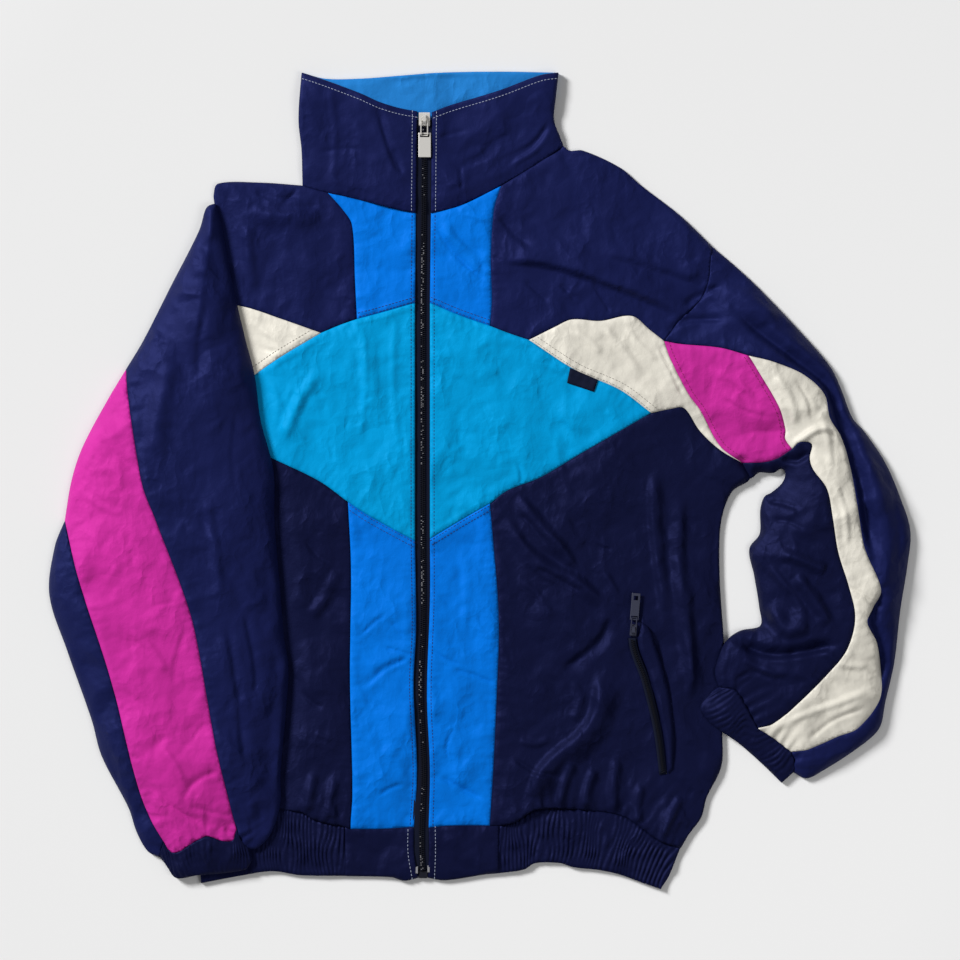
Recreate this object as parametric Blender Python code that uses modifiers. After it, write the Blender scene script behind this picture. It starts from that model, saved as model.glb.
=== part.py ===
"""A track jacket laid flat on its back, one sleeve folded over the body and the other bent at the elbow.

The plan of every seam is in millimetres, measured from the front zip's centre line (x) and from the
bottom of the hem (y). Heights are millimetres above the surface that the jacket lies on. Each piece
of cloth is a wall between two heights over its own outline in that plan.
"""

import collections
import math

import bmesh
import bpy
import numpy as np
from mathutils import Vector
from mathutils.geometry import delaunay_2d_cdt

MM = 0.001

# Driving dimensions, in millimetres.
CLOTH = 2.2  # a wall of cloth: shell and lining together
HIDDEN_CLOTH = 1.7  # the same, pressed under a sleeve's upper side
SEAM = 0.3  # what stays open between two pieces
RIM = 2 * CLOTH + SEAM  # two layers, at an edge of the jacket
COVERED = RIM + SEAM  # what lies over the flat body starts here
BODY_LOFT = 3.4  # how far the fronts swell above their edge
BODY_ROUND = 18.0  # how far in from an edge they reach it
LEFT_LOFT = 19.0  # the same two for each sleeve
LEFT_ROUND = 62.0
RIGHT_LOFT = 19.0
RIGHT_ROUND = 46.0
EDGE_FADE = 12.0  # a fold reaches its full height this far in from an edge
LEFT_FADE = 14.0
BODY_EDGE_FOLD = 0.3  # and starts with this share of the fade behind it
RIGHT_EDGE_FOLD = 0.1
ARMHOLE_BLEND = 90.0  # the right sleeve swells over this distance from its armhole
COLLAR_LIFT = CLOTH + SEAM  # the collar's fronts lie over its lining
COLLAR_BLEND = 15.0
COVER_MARGIN = 3.0  # the body stays flat this far beside what lies over it
COVER_BLEND = 22.0
STEP_NEAR = 2.5  # a sleeve is clear of the body's edge from here
STEP_FAR = 16.0  # and down on the surface from here
HIDDEN_SLACK = 1.3  # between a sleeve's upper cloth and its hidden layers
CUFF_SLACK = 2.6  # the same inside a ribbed cuff
HIDDEN_INSET = 0.8  # hidden layers end this far inside the upper cloth's edge
LINING_INSET = 0.4
HEM_RIBS_LEFT = 30
HEM_RIBS_RIGHT = 36
HEM_RIB = 2.6  # height of a gather
HEM_SEEN_FROM = -146.0  # left of here the hem lies flat under the sleeve
HEM_SEEN_BLEND = 14.0
BAND_SEAM = 0.7  # between a band and the panels that it gathers
CUFF_RIBS = 20
CUFF_RIB = 2.4
CUFF_LOFT = 0.45  # a sleeve's loft at its cuff, as a share of its full loft
CUFF_BLEND = 85.0
TAPE = 1.0
CHAIN_WIDTH = 4.9
CHAIN_HEIGHT = 1.9
CHAIN_ENDS = (9.8, 752.4)
TAPE_TOP = 765.0
TAPE_SINK = 1.2  # the tapes lie this far below the cloth beside them
CHAIN_SINK = 0.2
ZIP_POINTS = 22
SLIDER = (11.0, 13.5, 2.9)
SLIDER_SPOT = (1.4, 760.4, 9.8)
PULL_TAB = (12.4, 24.6, 1.8)
PULL_TAB_SPOT = (0.3, -24.6, -2.2)  # from its hinge
BRIDGE = 3.6  # a slider's bridge stands this high over its plate
EYE = 2.5  # the height of the eye through the bridge
BRIDGE_SHARE = 0.62  # a bridge's length as a share of its slider's
BRIDGE_WIDTH = 3.0
POCKET_SLIDER = (6.6, 12.0, 2.2)
POCKET_TAB = (8.6, 27.0, 1.5)
POCKET_TAB_SPOT = (0.0, -22.9, -1.3)
POCKET_TAPE_HALF = 5.0
POCKET_CHAIN_HALF = 2.0
POCKET_CHAIN_HEIGHT = 1.3
POCKET_ENDS = (104.0, 243.0)
POCKET_LEAN = math.radians(-4.5)
POCKET_CLEAR = 13.0  # the cloth stays flat this far beside the pocket
POCKET_BLEND = 12.0
WELT_GAP = 0.4  # between the pocket's tape and its welt
WELT_EDGE_HEIGHT = 1.4
WELT_CROWN = 2.6
WELT_ROUND = 4.0
LABEL_THICKNESS = 0.8

# Spacing of the points that carry the cloth's form.
SEAM_POINTS = 19.0
LATTICE = 26.0
RIGHT_LATTICE = 22.0
LATTICE_GAP = 0.55  # the lattice keeps this share of its spacing clear of rims and folds
LATTICE_LOW = (-380.0, -12.0)
LATTICE_HIGH = (495.0, 815.0)
BODY_RINGS = (5.0, 13.0)  # how far in from an edge the points lie that round it
COLLAR_RINGS = (6.0,)
LEFT_RINGS = (5.6, 16.0, 34.0)
RIGHT_RINGS = (5.6, 16.0)
FOLD_POINTS = 20.0
STEP_POINTS = 9.0
POCKET_POINTS = 8.0
WELT_POINTS = 12.0
KEEP_CLEAR = 4.2
LEAST_APART = 7.0
CARRIERS_APART = 6.5
ON_CREASE = 0.5

NAVY = (0.012, 0.016, 0.090, 1.0)
ROYAL = (0.005, 0.135, 0.620, 1.0)
TURQUOISE = (0.002, 0.262, 0.610, 1.0)
MAGENTA = (0.560, 0.030, 0.300, 1.0)
PALE = (0.680, 0.640, 0.580, 1.0)
DARK = (0.006, 0.008, 0.028, 1.0)
STEEL = (0.560, 0.520, 0.470, 1.0)
LACQUER = (0.110, 0.120, 0.170, 1.0)

# Every stretch of seam or edge, from one junction to the next.
SEAMS = {
    # collar
    "collar_edge_left": [(-121, 807), (-103, 801), (-63, 786), (-43, 777), (-23, 771), (-6, 768)],
    "collar_edge_right": [(9, 767), (27, 774), (77, 789), (117, 804), (135, 807)],
    "collar_side_left": [(-120, 694), (-121, 730), (-124, 760), (-121, 807)],
    "collar_side_right": [(140, 734), (137, 742), (130.5, 760), (132, 780), (135, 807)],
    "collar_top": [(-121, 807), (-98, 801), (-63, 801), (-23, 804), (17, 807), (77, 808), (135, 807)],
    "neck_outer_left": [(-120, 694), (-107, 690), (-95, 687)],
    "neck_inner_left": [(-95, 687), (-63, 680), (-23, 670), (-7, 667)],
    "neck_inner_right": [(8, 667), (37, 674), (78, 694)],
    "neck_outer_right": [(78, 694), (117, 718), (140, 734)],
    "neck_back": [(140, 734), (60, 715), (0, 706), (-60, 702), (-120, 694)],
    "lining_lower": [(132, 783), (77, 765), (9, 742), (-43, 752), (-100, 778), (-119, 790)],
    # edges of the two fronts along the zip
    "zip_collar_left": [(-6, 768), (-7, 667)],
    "zip_collar_right": [(9, 767), (8, 667)],
    "zip_chest_left": [(-7, 667), (-8, 577)],
    "zip_chest_right": [(8, 667), (7, 577)],
    "zip_diamond_left": [(-8, 577), (-8, 339)],
    "zip_diamond_right": [(7, 577), (7, 341)],
    "zip_waist_left": [(-8, 339), (-7, 250), (-9.5, 195), (-6, 110), (-9, 53)],
    "zip_waist_right": [(7, 341), (7, 280), (4, 185), (7, 110), (5.7, 52.5)],
    "zip_hem_left": [(-9, 53), (-9, 28), (-5, 2.5)],
    "zip_hem_right": [(5.7, 52.5), (6, 28), (5, 2.5)],
    # chest
    "strip_left": [(-95, 687), (-80, 670), (-71, 655), (-68, 600), (-66, 561)],
    "strip_right": [(78, 694), (71, 670), (68, 620), (69, 580), (67, 554)],
    "peak_left": [(-8, 577), (-43, 567), (-66, 561)],
    "peak_right": [(7, 577), (37, 564.5), (67, 554)],
    "brow_left": [(-66, 561), (-83, 555), (-102, 547)],
    "brow_right": [(67, 554), (88, 546), (106, 540)],
    "band_top_left": [(-102, 547), (-143, 561.5), (-178, 573), (-221, 580)],
    "band_top_right": [(106, 540), (132, 553), (149, 560.5), (177, 559), (209, 564), (227, 550), (241, 539)],
    "band_low_left": [(-102, 547), (-143, 522.5), (-169, 505), (-229, 466)],
    "band_low_right": [(106, 540), (152, 510), (197, 490), (228, 467)],
    "band_end_left": [(-229, 466), (-238, 468), (-247, 470)],
    "band_end_right": [(228, 467), (247, 471), (261, 472), (277, 449), (297, 430), (319, 417)],
    "keel_left": [(-8, 339), (-52, 363), (-75, 378)],
    "keel_right": [(7, 341), (40, 361), (67, 376.5)],
    "point_left": [(-75, 378), (-104, 399), (-153.5, 423), (-190, 442), (-229, 466)],
    "point_right": [(67, 376.5), (84.5, 389.5), (117, 402.5), (157, 426), (228, 467)],
    # waist
    "waist_left": [(-75, 378), (-72, 312), (-73, 200), (-70.5, 90), (-72.7, 51)],
    "waist_right": [(67, 376.5), (75, 280), (75.8, 240), (74, 190), (70.8, 120), (67, 54.4)],
    "hem_strip_left": [(-72.7, 51), (-43, 51), (-9, 53)],
    "hem_strip_right": [(5.7, 52.5), (27, 54.5), (67, 54.4)],
    "hem_turn_left": [(-78, 53), (-72.7, 51)],
    "hem_turn_right": [(67, 54.4), (76, 54)],
    "hem_seam_left": [(-228, 66), (-180, 71), (-123, 68), (-109, 60), (-78, 53)],
    "hem_seam_right": [(76, 54), (92, 58), (115, 71), (178, 68), (205, 61), (237, 39), (257.5, 32)],
    "facing_side_left": [(-78, 53), (-78, 4.3)],
    "facing_side_right": [(76, 54), (76, 7)],
    "hem_end_left": [(-228, 66), (-226, 30), (-222, -3)],
    "hem_edge_left": [(-222, -3), (-183, 4.4), (-151, 9), (-123, 5), (-78, 4.3)],
    "facing_edge_left": [(-78, 4.3), (-31, 3), (-19, -0.5), (-5, 2.5)],
    "facing_edge_right": [(5, 2.5), (22, 0), (63, 6), (76, 7)],
    "hem_edge_right": [
        (76, 7), (101, 10.6), (112, 17), (137.7, 17), (150, 13), (177, 10), (197, 5.6), (218, -2), (238, -9),
    ],
    "hem_end_right": [(238, -9), (246, 3.5), (257.5, 32)],
    # outer edges of the body
    "shoulder_top_left": [(-208, 676), (-209, 685), (-205, 696), (-163, 697), (-120, 694)],
    "shoulder_top_right": [(140, 734), (146, 729), (160, 729), (197, 712), (217, 695), (257, 664), (289, 633)],
    "side_top_left": [(-208, 676), (-210, 650), (-216, 610), (-221, 580)],
    "side_band_left": [(-221, 580), (-232, 530), (-247, 470)],
    "side_low_left": [(-247, 470), (-260, 380), (-262, 280), (-260, 160), (-252, 100), (-240, 76), (-228, 66)],
    "side_right": [
        (319, 417), (327, 402), (309, 389), (299, 365), (296, 338), (296.6, 295), (300, 245), (302, 200),
        (299, 150), (298, 114), (283, 82), (278, 63), (265, 45), (257.5, 32),
    ],
    "armhole_top": [(289, 633), (282, 588), (257, 560), (241, 539)],
    "armhole_low": [(241, 539), (247, 522), (266, 485), (277, 470), (297, 434), (319, 417)],
    # right sleeve
    "block_top": [(241, 539), (257, 536), (297, 532), (325, 524)],
    "block_side": [(325, 524), (332.5, 512), (355, 473), (362, 450), (361.7, 441), (368.5, 431)],
    "block_low": [(319, 417), (342, 418), (355, 422), (368.5, 431)],
    "pale_outer": [
        (325, 524), (352, 517), (381.5, 504), (401, 485), (406, 462), (417, 444), (426, 415), (435, 363),
        (441, 331), (457, 290), (449, 272), (443, 258), (453, 238), (458, 205), (456, 180), (434, 152),
        (415, 144), (385, 131), (368, 128),
    ],
    "pale_inner": [
        (368.5, 431), (376, 438), (388, 436), (386, 422), (389, 411), (403, 391), (409, 360), (414.6, 327),
        (425, 293), (431, 263), (424, 233), (408, 211), (367, 170), (348.5, 156), (334, 152),
    ],
    "cuff_seam_inner": [(296, 193), (312, 190), (321, 177), (334, 152)],
    "cuff_seam_pale": [(334, 152), (350, 142), (368, 128)],
    "cuff_seam_outer": [(368, 128), (371, 118), (371, 108)],
    "arm_outer": [
        (289, 633), (317, 609), (337, 590), (377, 548), (407, 513), (418, 490), (429, 462), (441, 448),
        (462, 417), (477, 382), (487, 349), (484, 314), (477, 270), (471, 218), (462, 178), (456, 152),
        (437, 134), (397, 108), (383, 102), (371, 108),
    ],
    "arm_inner": [
        (319, 417), (327, 402), (336, 408), (350, 407.5), (359, 412), (363, 407), (360, 397), (349, 387),
        (342, 383), (338, 370), (337.4, 346), (327, 331), (332, 304), (337, 273), (338, 254), (317, 248.5),
        (303, 238), (294, 216), (292.4, 206), (296, 193),
    ],
    "cuff_right_start": [(296, 193), (288.7, 188)],
    "cuff_right_end": [(371, 108), (359, 97.3)],
    "cuff_right_edge": [
        (288.7, 188), (277.7, 173), (286, 159), (299, 148.5), (316, 137), (342, 114), (359, 97.3),
    ],
    # left sleeve
    "sleeve_inner": [
        (-208, 676), (-202, 655), (-190, 592), (-178, 540), (-169, 505), (-163, 460), (-150, 409), (-149, 360),
        (-144, 299), (-139, 240), (-135, 214), (-137.4, 170), (-143, 105), (-143, 78), (-152, 48), (-165, 33),
        (-173, 31),
    ],
    "sleeve_outer_top": [(-208, 676), (-216, 672), (-223, 650), (-252, 593), (-280, 538), (-297, 510)],
    "sleeve_outer_stripe": [(-297, 510), (-315, 480), (-340, 433), (-351, 400), (-358, 359)],
    "sleeve_outer_low": [
        (-358, 359), (-368, 333), (-373.3, 285), (-355, 228), (-331, 160), (-321, 124), (-294, 72), (-286, 48),
        (-275, 29), (-263, 23),
    ],
    "stripe_inner": [
        (-297, 510), (-294.5, 484), (-284, 419), (-278.5, 392), (-266, 360), (-236, 281), (-225, 240),
        (-206, 134), (-186, 51),
    ],
    "stripe_outer": [(-358, 359), (-343, 300), (-312, 204), (-285, 96), (-274, 65), (-259, 38)],
    "cuff_seam_back": [(-263, 23), (-262, 30), (-259, 38)],
    "cuff_seam_stripe": [
        (-259, 38), (-253, 29), (-245, 28), (-229, 38), (-215, 44.4), (-201, 40), (-190, 40), (-186, 51),
    ],
    "cuff_seam_front": [(-186, 51), (-180, 38), (-173, 31)],
    "cuff_left_start": [(-263, 23), (-257, 15)],
    "cuff_left_edge": [(-257, 15), (-247, 2.4), (-227, 5), (-178, 11), (-171, 20)],
    "cuff_left_end": [(-173, 31), (-171, 20)],
}

# The largest folds. A path's left and right are as seen walking along it; a negative height is a hollow.
Fold = collections.namedtuple("Fold", "layer height left right path")
FOLDS = [
    # body: right shoulder and armhole
    Fold("body", 6.5, 30, 9, [(84, 622), (122, 619), (157, 609), (197, 595), (237, 579), (254, 571)]),
    Fold("body", 3.5, 16, 10, [(177, 630), (217, 621), (257, 609), (280, 604)]),
    Fold("body", -2.2, 11, 11, [(77, 664), (90, 648), (107, 632)]),
    Fold("armhole", -3.2, 8, 8, [(245, 547), (259, 558), (301, 561)]),
    Fold("armhole", -3.0, 8, 8, [(262, 575), (274, 582), (296, 594)]),
    # body: right front
    Fold("body", 4.2, 9, 14, [(94, 385), (122, 350), (141, 329), (152, 308)]),
    Fold("body", 4.5, 9, 15, [(82, 363), (97, 338), (117, 319), (154, 299), (179, 277)]),
    Fold("body", 7.0, 24, 10, [(179, 200), (173, 166), (156, 142), (122, 112), (108, 82)]),
    Fold("body", -2.6, 13, 13, [(188, 262), (175, 238), (141, 210)]),
    Fold("body", 4.2, 13, 8, [(230, 407), (232, 349), (239, 290), (242, 268)]),
    Fold("body", 4.0, 10, 13, [(257, 381), (256, 320), (262, 260), (272, 190)]),
    Fold("body", 3.6, 8, 8, [(137, 74), (141, 96), (150, 118)]),
    Fold("body", 3.4, 8, 8, [(163, 72), (165, 92), (172, 112)]),
    Fold("body", 3.6, 8, 8, [(190, 67), (190, 90), (194, 120)]),
    Fold("body", 3.4, 8, 8, [(214, 56), (214, 76), (219, 96)]),
    Fold("body", 3.2, 8, 8, [(240, 42), (246, 62), (258, 84)]),
    # body: left side
    Fold("body", 4.0, 8, 18, [(-170, 676), (-160, 666), (-119, 665), (-103, 668)]),
    Fold("body", 2.6, 12, 7, [(-176, 655), (-176, 620), (-172, 588)]),
    Fold("body", 2.8, 10, 10, [(-105, 505), (-120, 486), (-139, 442)]),
    Fold("body", 1.8, 13, 13, [(-55, 530), (-53, 470)]),
    Fold("body", 2.6, 10, 10, [(-85, 310), (-94, 290), (-112, 262)]),
    Fold("body", 3.0, 8, 8, [(-92, 60), (-92, 80), (-88, 104)]),
    Fold("body", 3.0, 8, 8, [(-115, 68), (-113, 88), (-108, 108)]),
    # strips beside the zip
    Fold("body", -1.6, 7, 7, [(-57, 194), (-38, 211), (-14, 222)]),
    Fold("body", -1.6, 7, 7, [(17, 103), (42, 89), (59, 81)]),
    Fold("body", 2.0, 8, 8, [(20, 658), (34, 635), (57, 612)]),
    # collar
    Fold("collar", -3.0, 9, 9, [(126, 757), (112, 737), (84, 720), (72, 714)]),
    Fold("collar", -2.6, 8, 8, [(37, 712), (65, 725), (70, 734), (97, 745)]),
    Fold("collar", -2.2, 8, 8, [(-45, 770), (-35, 735), (-23, 705)]),
    # left sleeve
    Fold("left", -5.0, 10, 10, [(-195, 255), (-186, 200), (-180, 140), (-176, 118)]),
    Fold("left", -4.2, 9, 9, [(-177, 265), (-168, 220), (-166, 185)]),
    Fold("left", -4.0, 10, 10, [(-269, 96), (-243, 69), (-219, 56)]),
    Fold("left", -3.6, 9, 9, [(-240, 80), (-227, 99), (-205, 110)]),
    Fold("left", -3.0, 9, 9, [(-236, 252), (-246, 220), (-248, 196)]),
    Fold("left", 4.0, 16, 16, [(-252, 520), (-262, 470), (-268, 425)]),
    Fold("left", -3.0, 10, 10, [(-322, 440), (-305, 424), (-284, 410)]),
    Fold("left", -3.4, 12, 12, [(-214, 580), (-222, 540), (-224, 500)]),
    # right sleeve
    Fold(
        "right", -8.5, 13, 15,
        [
            (312, 570), (333, 550), (372, 520), (405, 492), (415, 460), (427, 425), (436, 400), (443, 360),
            (450, 320),
        ],
    ),
    Fold("right", -6.0, 11, 11, [(459, 290), (449, 262), (456, 238), (459, 200)]),
    Fold("right", -7.5, 12, 12, [(316, 236), (344, 226), (377, 228), (412, 236)]),
    Fold("right", 5.0, 14, 12, [(345, 274), (362, 251), (385, 256)]),
    Fold("right", 4.5, 9, 11, [(372, 305), (392, 279), (405, 256)]),
    Fold("right", 4.0, 9, 9, [(357, 327), (378, 320), (402, 309)]),
    Fold("right", -6.0, 11, 9, [(358, 421), (374, 419), (386, 428)]),
    Fold("right", 3.6, 14, 14, [(440, 436), (458, 380), (464, 330), (460, 285)]),
]


# ---------------------------------------------------------------- plan geometry


def smooth_line(points, spacing):
    """An even polyline along a cubic curve through the points, its tangents weighted by their distances."""
    spots = np.array(points, float)
    gaps = np.linalg.norm(np.diff(spots, axis=0), axis=1)
    times = np.concatenate([[0.0], np.cumsum(gaps)])
    slopes = np.empty_like(spots)
    slopes[1:-1] = (spots[2:] - spots[:-2]) / (times[2:] - times[:-2])[:, None]
    slopes[0] = (spots[1] - spots[0]) / gaps[0]
    slopes[-1] = (spots[-1] - spots[-2]) / gaps[-1]
    fine = []
    for first in range(len(gaps)):
        for step in range(12):
            t = step / 12
            fine.append(
                (2 * t**3 - 3 * t**2 + 1) * spots[first]
                + (t**3 - 2 * t**2 + t) * gaps[first] * slopes[first]
                + (3 * t**2 - 2 * t**3) * spots[first + 1]
                + (t**3 - t**2) * gaps[first] * slopes[first + 1]
            )
    fine.append(spots[-1])
    fine = np.array(fine)
    lengths = np.concatenate([[0.0], np.cumsum(np.linalg.norm(np.diff(fine, axis=0), axis=1))])
    pieces = max(1, round(lengths[-1] / spacing))
    wanted = np.linspace(0.0, lengths[-1], pieces + 1)
    return np.stack([np.interp(wanted, lengths, fine[:, axis]) for axis in (0, 1)], axis=1)


LINES = {name: smooth_line(points, SEAM_POINTS) for name, points in SEAMS.items()}


def chain(names):
    """Seams joined end to end, each turned round where that is what joins it to the one before."""
    lines = [LINES[name] for name in names.split()]
    joined = [lines[0]]
    if len(lines) > 1:
        follows = [np.linalg.norm(lines[0][-1] - end) for end in (lines[1][0], lines[1][-1])]
        leads = [np.linalg.norm(lines[0][0] - end) for end in (lines[1][0], lines[1][-1])]
        if min(leads) < min(follows):
            joined = [lines[0][::-1]]
    for line in lines[1:]:
        end = joined[-1][-1]
        if np.linalg.norm(line[-1] - end) < np.linalg.norm(line[0] - end):
            line = line[::-1]
        joined.append(line[1:] if np.linalg.norm(line[0] - end) < 0.01 else line)
    return np.concatenate(joined)


def anticlockwise(points):
    x, y = points.T
    return points if np.dot(x, np.roll(y, -1)) > np.dot(y, np.roll(x, -1)) else points[::-1]


def outline(names):
    """A closed outline from seams, anticlockwise, its last point dropped where it repeats the first."""
    points = chain(names)
    if np.linalg.norm(points[0] - points[-1]) < 0.01:
        points = points[:-1]
    return anticlockwise(points)


def inset(points, distance):
    """A closed anticlockwise outline with each side moved in by the distance."""
    before = points - np.roll(points, 1, axis=0)
    after = np.roll(points, -1, axis=0) - points
    normals = []
    for side in (before, after):
        unit = side / np.linalg.norm(side, axis=1)[:, None]
        normals.append(np.stack([-unit[:, 1], unit[:, 0]], axis=1))
    mean = normals[0] + normals[1]
    scale = np.maximum((mean * mean).sum(axis=1), 0.12)
    return points + 2 * distance * mean / scale[:, None]


def beside(line, distance):
    """An open line moved to its left by the distance, or to its right by a negative one."""
    along = np.gradient(line, axis=0)
    unit = along / np.linalg.norm(along, axis=1)[:, None]
    return line + distance * np.stack([-unit[:, 1], unit[:, 0]], axis=1)


def nearest(points, line):
    """For each point its distance from a line, how far along it that is, and which side it lies on."""
    starts = line[:-1]
    spans = np.diff(line, axis=0)
    squares = (spans * spans).sum(axis=1)
    offsets = points[:, None, :] - starts[None]
    share = np.clip((offsets * spans).sum(axis=2) / squares, 0.0, 1.0)
    apart = offsets - share[..., None] * spans
    distances = np.linalg.norm(apart, axis=2)
    best = distances.argmin(axis=1)
    rows = np.arange(len(points))
    along = (best + share[rows, best]) / len(spans)
    cross = spans[best, 0] * offsets[rows, best, 1] - spans[best, 1] * offsets[rows, best, 0]
    return distances[rows, best], along, np.where(cross >= 0, 1.0, -1.0)


def distance_to(points, lines):
    return np.min([nearest(points, line)[0] for line in lines], axis=0)


def inside(points, polygon):
    """Which points lie in a closed polygon."""
    within = np.zeros(len(points), bool)
    ends = np.roll(polygon, -1, axis=0)
    for (x1, y1), (x2, y2) in zip(polygon, ends):
        if y1 == y2:
            continue
        crossed = (points[:, 1] > min(y1, y2)) & (points[:, 1] <= max(y1, y2))
        reach = x1 + (points[:, 1] - y1) * (x2 - x1) / (y2 - y1)
        within ^= crossed & (points[:, 0] < reach)
    return within


def closed(polygon):
    return np.concatenate([polygon, polygon[:1]])


def outside_by(points, polygon):
    """How far outside a polygon each point lies, and 0 inside it."""
    return np.where(inside(points, polygon), 0.0, nearest(points, closed(polygon))[0])


def ease(share):
    """From 0 to 1, flat at both ends."""
    share = np.clip(share, 0.0, 1.0)
    return share * share * (3 - 2 * share)


def swell(share):
    """The rounded rise of soft cloth from its edge to its crown."""
    share = np.clip(share, 0.0, 1.0)
    return (1 - (1 - share) ** 2) ** 0.65


# ---------------------------------------------------------------- heights

LEFT_SLEEVE = outline(
    "sleeve_inner cuff_left_end cuff_left_edge cuff_left_start sleeve_outer_low sleeve_outer_stripe"
    " sleeve_outer_top"
)
FOREARM_OVER_BODY = np.array(
    [(303, 238), (294, 216), (292.4, 206), (296, 193), (288.7, 188), (277.7, 173), (286, 159), (299, 148.5),
     (316, 137), (330, 160), (330, 230)], float
)
BODY_EDGES = [
    chain("shoulder_top_left collar_side_left collar_top collar_side_right shoulder_top_right"),
    chain("side_top_left side_band_left side_low_left hem_end_left hem_edge_left facing_edge_left"),
    chain("facing_edge_right hem_edge_right hem_end_right side_right"),
]
RIGHT_EDGES = [
    chain("shoulder_top_right arm_outer cuff_right_end cuff_right_edge cuff_right_start arm_inner"),
]
LEFT_EDGES = [closed(LEFT_SLEEVE)]
LEFT_STEP = smooth_line(chain("side_top_left side_band_left side_low_left hem_end_left"), STEP_POINTS)
RIGHT_STEP = smooth_line([(298, 275), (300.5, 245), (302, 200), (299, 150), (298, 114), (291, 97)], STEP_POINTS)
NECK = [chain("neck_outer_left neck_inner_left"), chain("neck_inner_right neck_outer_right")]
ARMHOLE = [chain("armhole_top armhole_low")]
CUFF_LEFT = outline(
    "cuff_seam_back cuff_seam_stripe cuff_seam_front cuff_left_end cuff_left_edge cuff_left_start"
)
CUFF_RIGHT = outline(
    "cuff_seam_inner cuff_seam_pale cuff_seam_outer cuff_right_end cuff_right_edge cuff_right_start"
)
POCKET_PATH = smooth_line([(213, 290), (209.5, 238), (222, 200), (234, 151), (240.5, 102)], POCKET_POINTS)
FOLD_LINES = [(fold, smooth_line(fold.path, FOLD_POINTS)) for fold in FOLDS]


def folds_on(points, layers):
    """The height that the folds of some layers add."""
    added = np.zeros(len(points))
    for fold, line in FOLD_LINES:
        if fold.layer not in layers:
            continue
        apart, along, side = nearest(points, line)
        width = np.where(side > 0, fold.left, fold.right)
        across = 0.5 + 0.5 * np.cos(math.pi * np.clip(apart / width, 0.0, 1.0))
        ends = ease(np.minimum(along, 1 - along) / 0.22 + 0.25)
        added += fold.height * across * ends
    return added


def left_step(points):
    """1 where the left sleeve lies over the body, 0 where it lies on the surface."""
    apart, _, side = nearest(points, LEFT_STEP)
    out = np.where(side < 0, apart, 0.0)
    return 1 - np.clip((out - STEP_NEAR) / (STEP_FAR - STEP_NEAR), 0.0, 1.0)


def right_step(points):
    """1 where the right forearm lies over the body, 0 where it lies on the surface."""
    apart, _, side = nearest(points, RIGHT_STEP)
    out = np.where(side > 0, apart, 0.0)
    below = ease((272.0 - points[:, 1]) / 10.0)
    return (1 - np.clip((out - STEP_NEAR) / (STEP_FAR - STEP_NEAR), 0.0, 1.0)) * below


def flattened(points):
    """0 under the left sleeve and the right forearm, 1 well clear of them."""
    apart = np.minimum(outside_by(points, LEFT_SLEEVE), outside_by(points, FOREARM_OVER_BODY))
    return ease((apart - COVER_MARGIN) / COVER_BLEND)


def body_top(points):
    edge = distance_to(points, BODY_EDGES)
    loft = BODY_LOFT * swell(edge / BODY_ROUND)
    folds = folds_on(points, ("body", "armhole")) * ease(edge / EDGE_FADE + BODY_EDGE_FOLD)
    folds = folds * ease((nearest(points, POCKET_PATH)[0] - POCKET_CLEAR) / POCKET_BLEND)
    return RIM + (loft + folds) * flattened(points)


def collar_top(points):
    edge = distance_to(points, BODY_EDGES)
    loft = BODY_LOFT * swell(edge / BODY_ROUND)
    lift = COLLAR_LIFT * ease(distance_to(points, NECK) / COLLAR_BLEND)
    return RIM + np.maximum(loft + lift + folds_on(points, ("collar",)), lift)


def left_top(points):
    edge = distance_to(points, LEFT_EDGES)
    near_cuff = CUFF_LOFT + (1 - CUFF_LOFT) * ease(outside_by(points, CUFF_LEFT) / CUFF_BLEND)
    loft = LEFT_LOFT * near_cuff * swell(edge / LEFT_ROUND)
    folds = folds_on(points, ("left",)) * ease(edge / LEFT_FADE)
    return RIM + COVERED * left_step(points) + np.maximum(loft + folds, 0.0)


def right_top(points):
    edge = distance_to(points, RIGHT_EDGES)
    along = ease(distance_to(points, ARMHOLE) / ARMHOLE_BLEND)
    near_cuff = CUFF_LOFT + (1 - CUFF_LOFT) * ease(outside_by(points, CUFF_RIGHT) / CUFF_BLEND)
    crown = BODY_LOFT + (RIGHT_LOFT * near_cuff - BODY_LOFT) * along
    reach = BODY_ROUND + (RIGHT_ROUND - BODY_ROUND) * along
    folds = folds_on(points, ("right", "armhole")) * ease(edge / EDGE_FADE + RIGHT_EDGE_FOLD)
    return RIM + COVERED * right_step(points) + np.maximum(crown * swell(edge / reach) + folds, 0.0)


def level(height):
    return lambda points: np.full(len(points), float(height))


def under(top, floor, extra=0.0):
    """The inner face of a cloth whose outer face is top, CLOTH away from it and never under its floor."""
    def inner(points):
        nudge = 1.0
        slope_x = (top(points + (nudge, 0)) - top(points - (nudge, 0))) / (2 * nudge)
        slope_y = (top(points + (0, nudge)) - top(points - (0, nudge))) / (2 * nudge)
        steep = np.minimum(np.sqrt(1 + slope_x**2 + slope_y**2), 1.7)
        return np.maximum(top(points) - CLOTH * steep - extra, floor(points))
    return inner


def left_floor(points):
    return COVERED * left_step(points)


def right_floor(points):
    return COVERED * right_step(points)


def raised(surface, height):
    return lambda points: surface(points) + height


# ---------------------------------------------------------------- building


def material(name, colour, roughness, metallic):
    made = bpy.data.materials.new(name)
    made.use_nodes = True
    shader = made.node_tree.nodes["Principled BSDF"]
    shader.inputs["Base Color"].default_value = colour
    shader.inputs["Roughness"].default_value = roughness
    shader.inputs["Metallic"].default_value = metallic
    return made


def add_object(name, mesh, finish):
    mesh.materials.append(finish)
    made = bpy.data.objects.new(name, mesh)
    JACKET.objects.link(made)
    made.parent = ORIGIN
    return made


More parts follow.
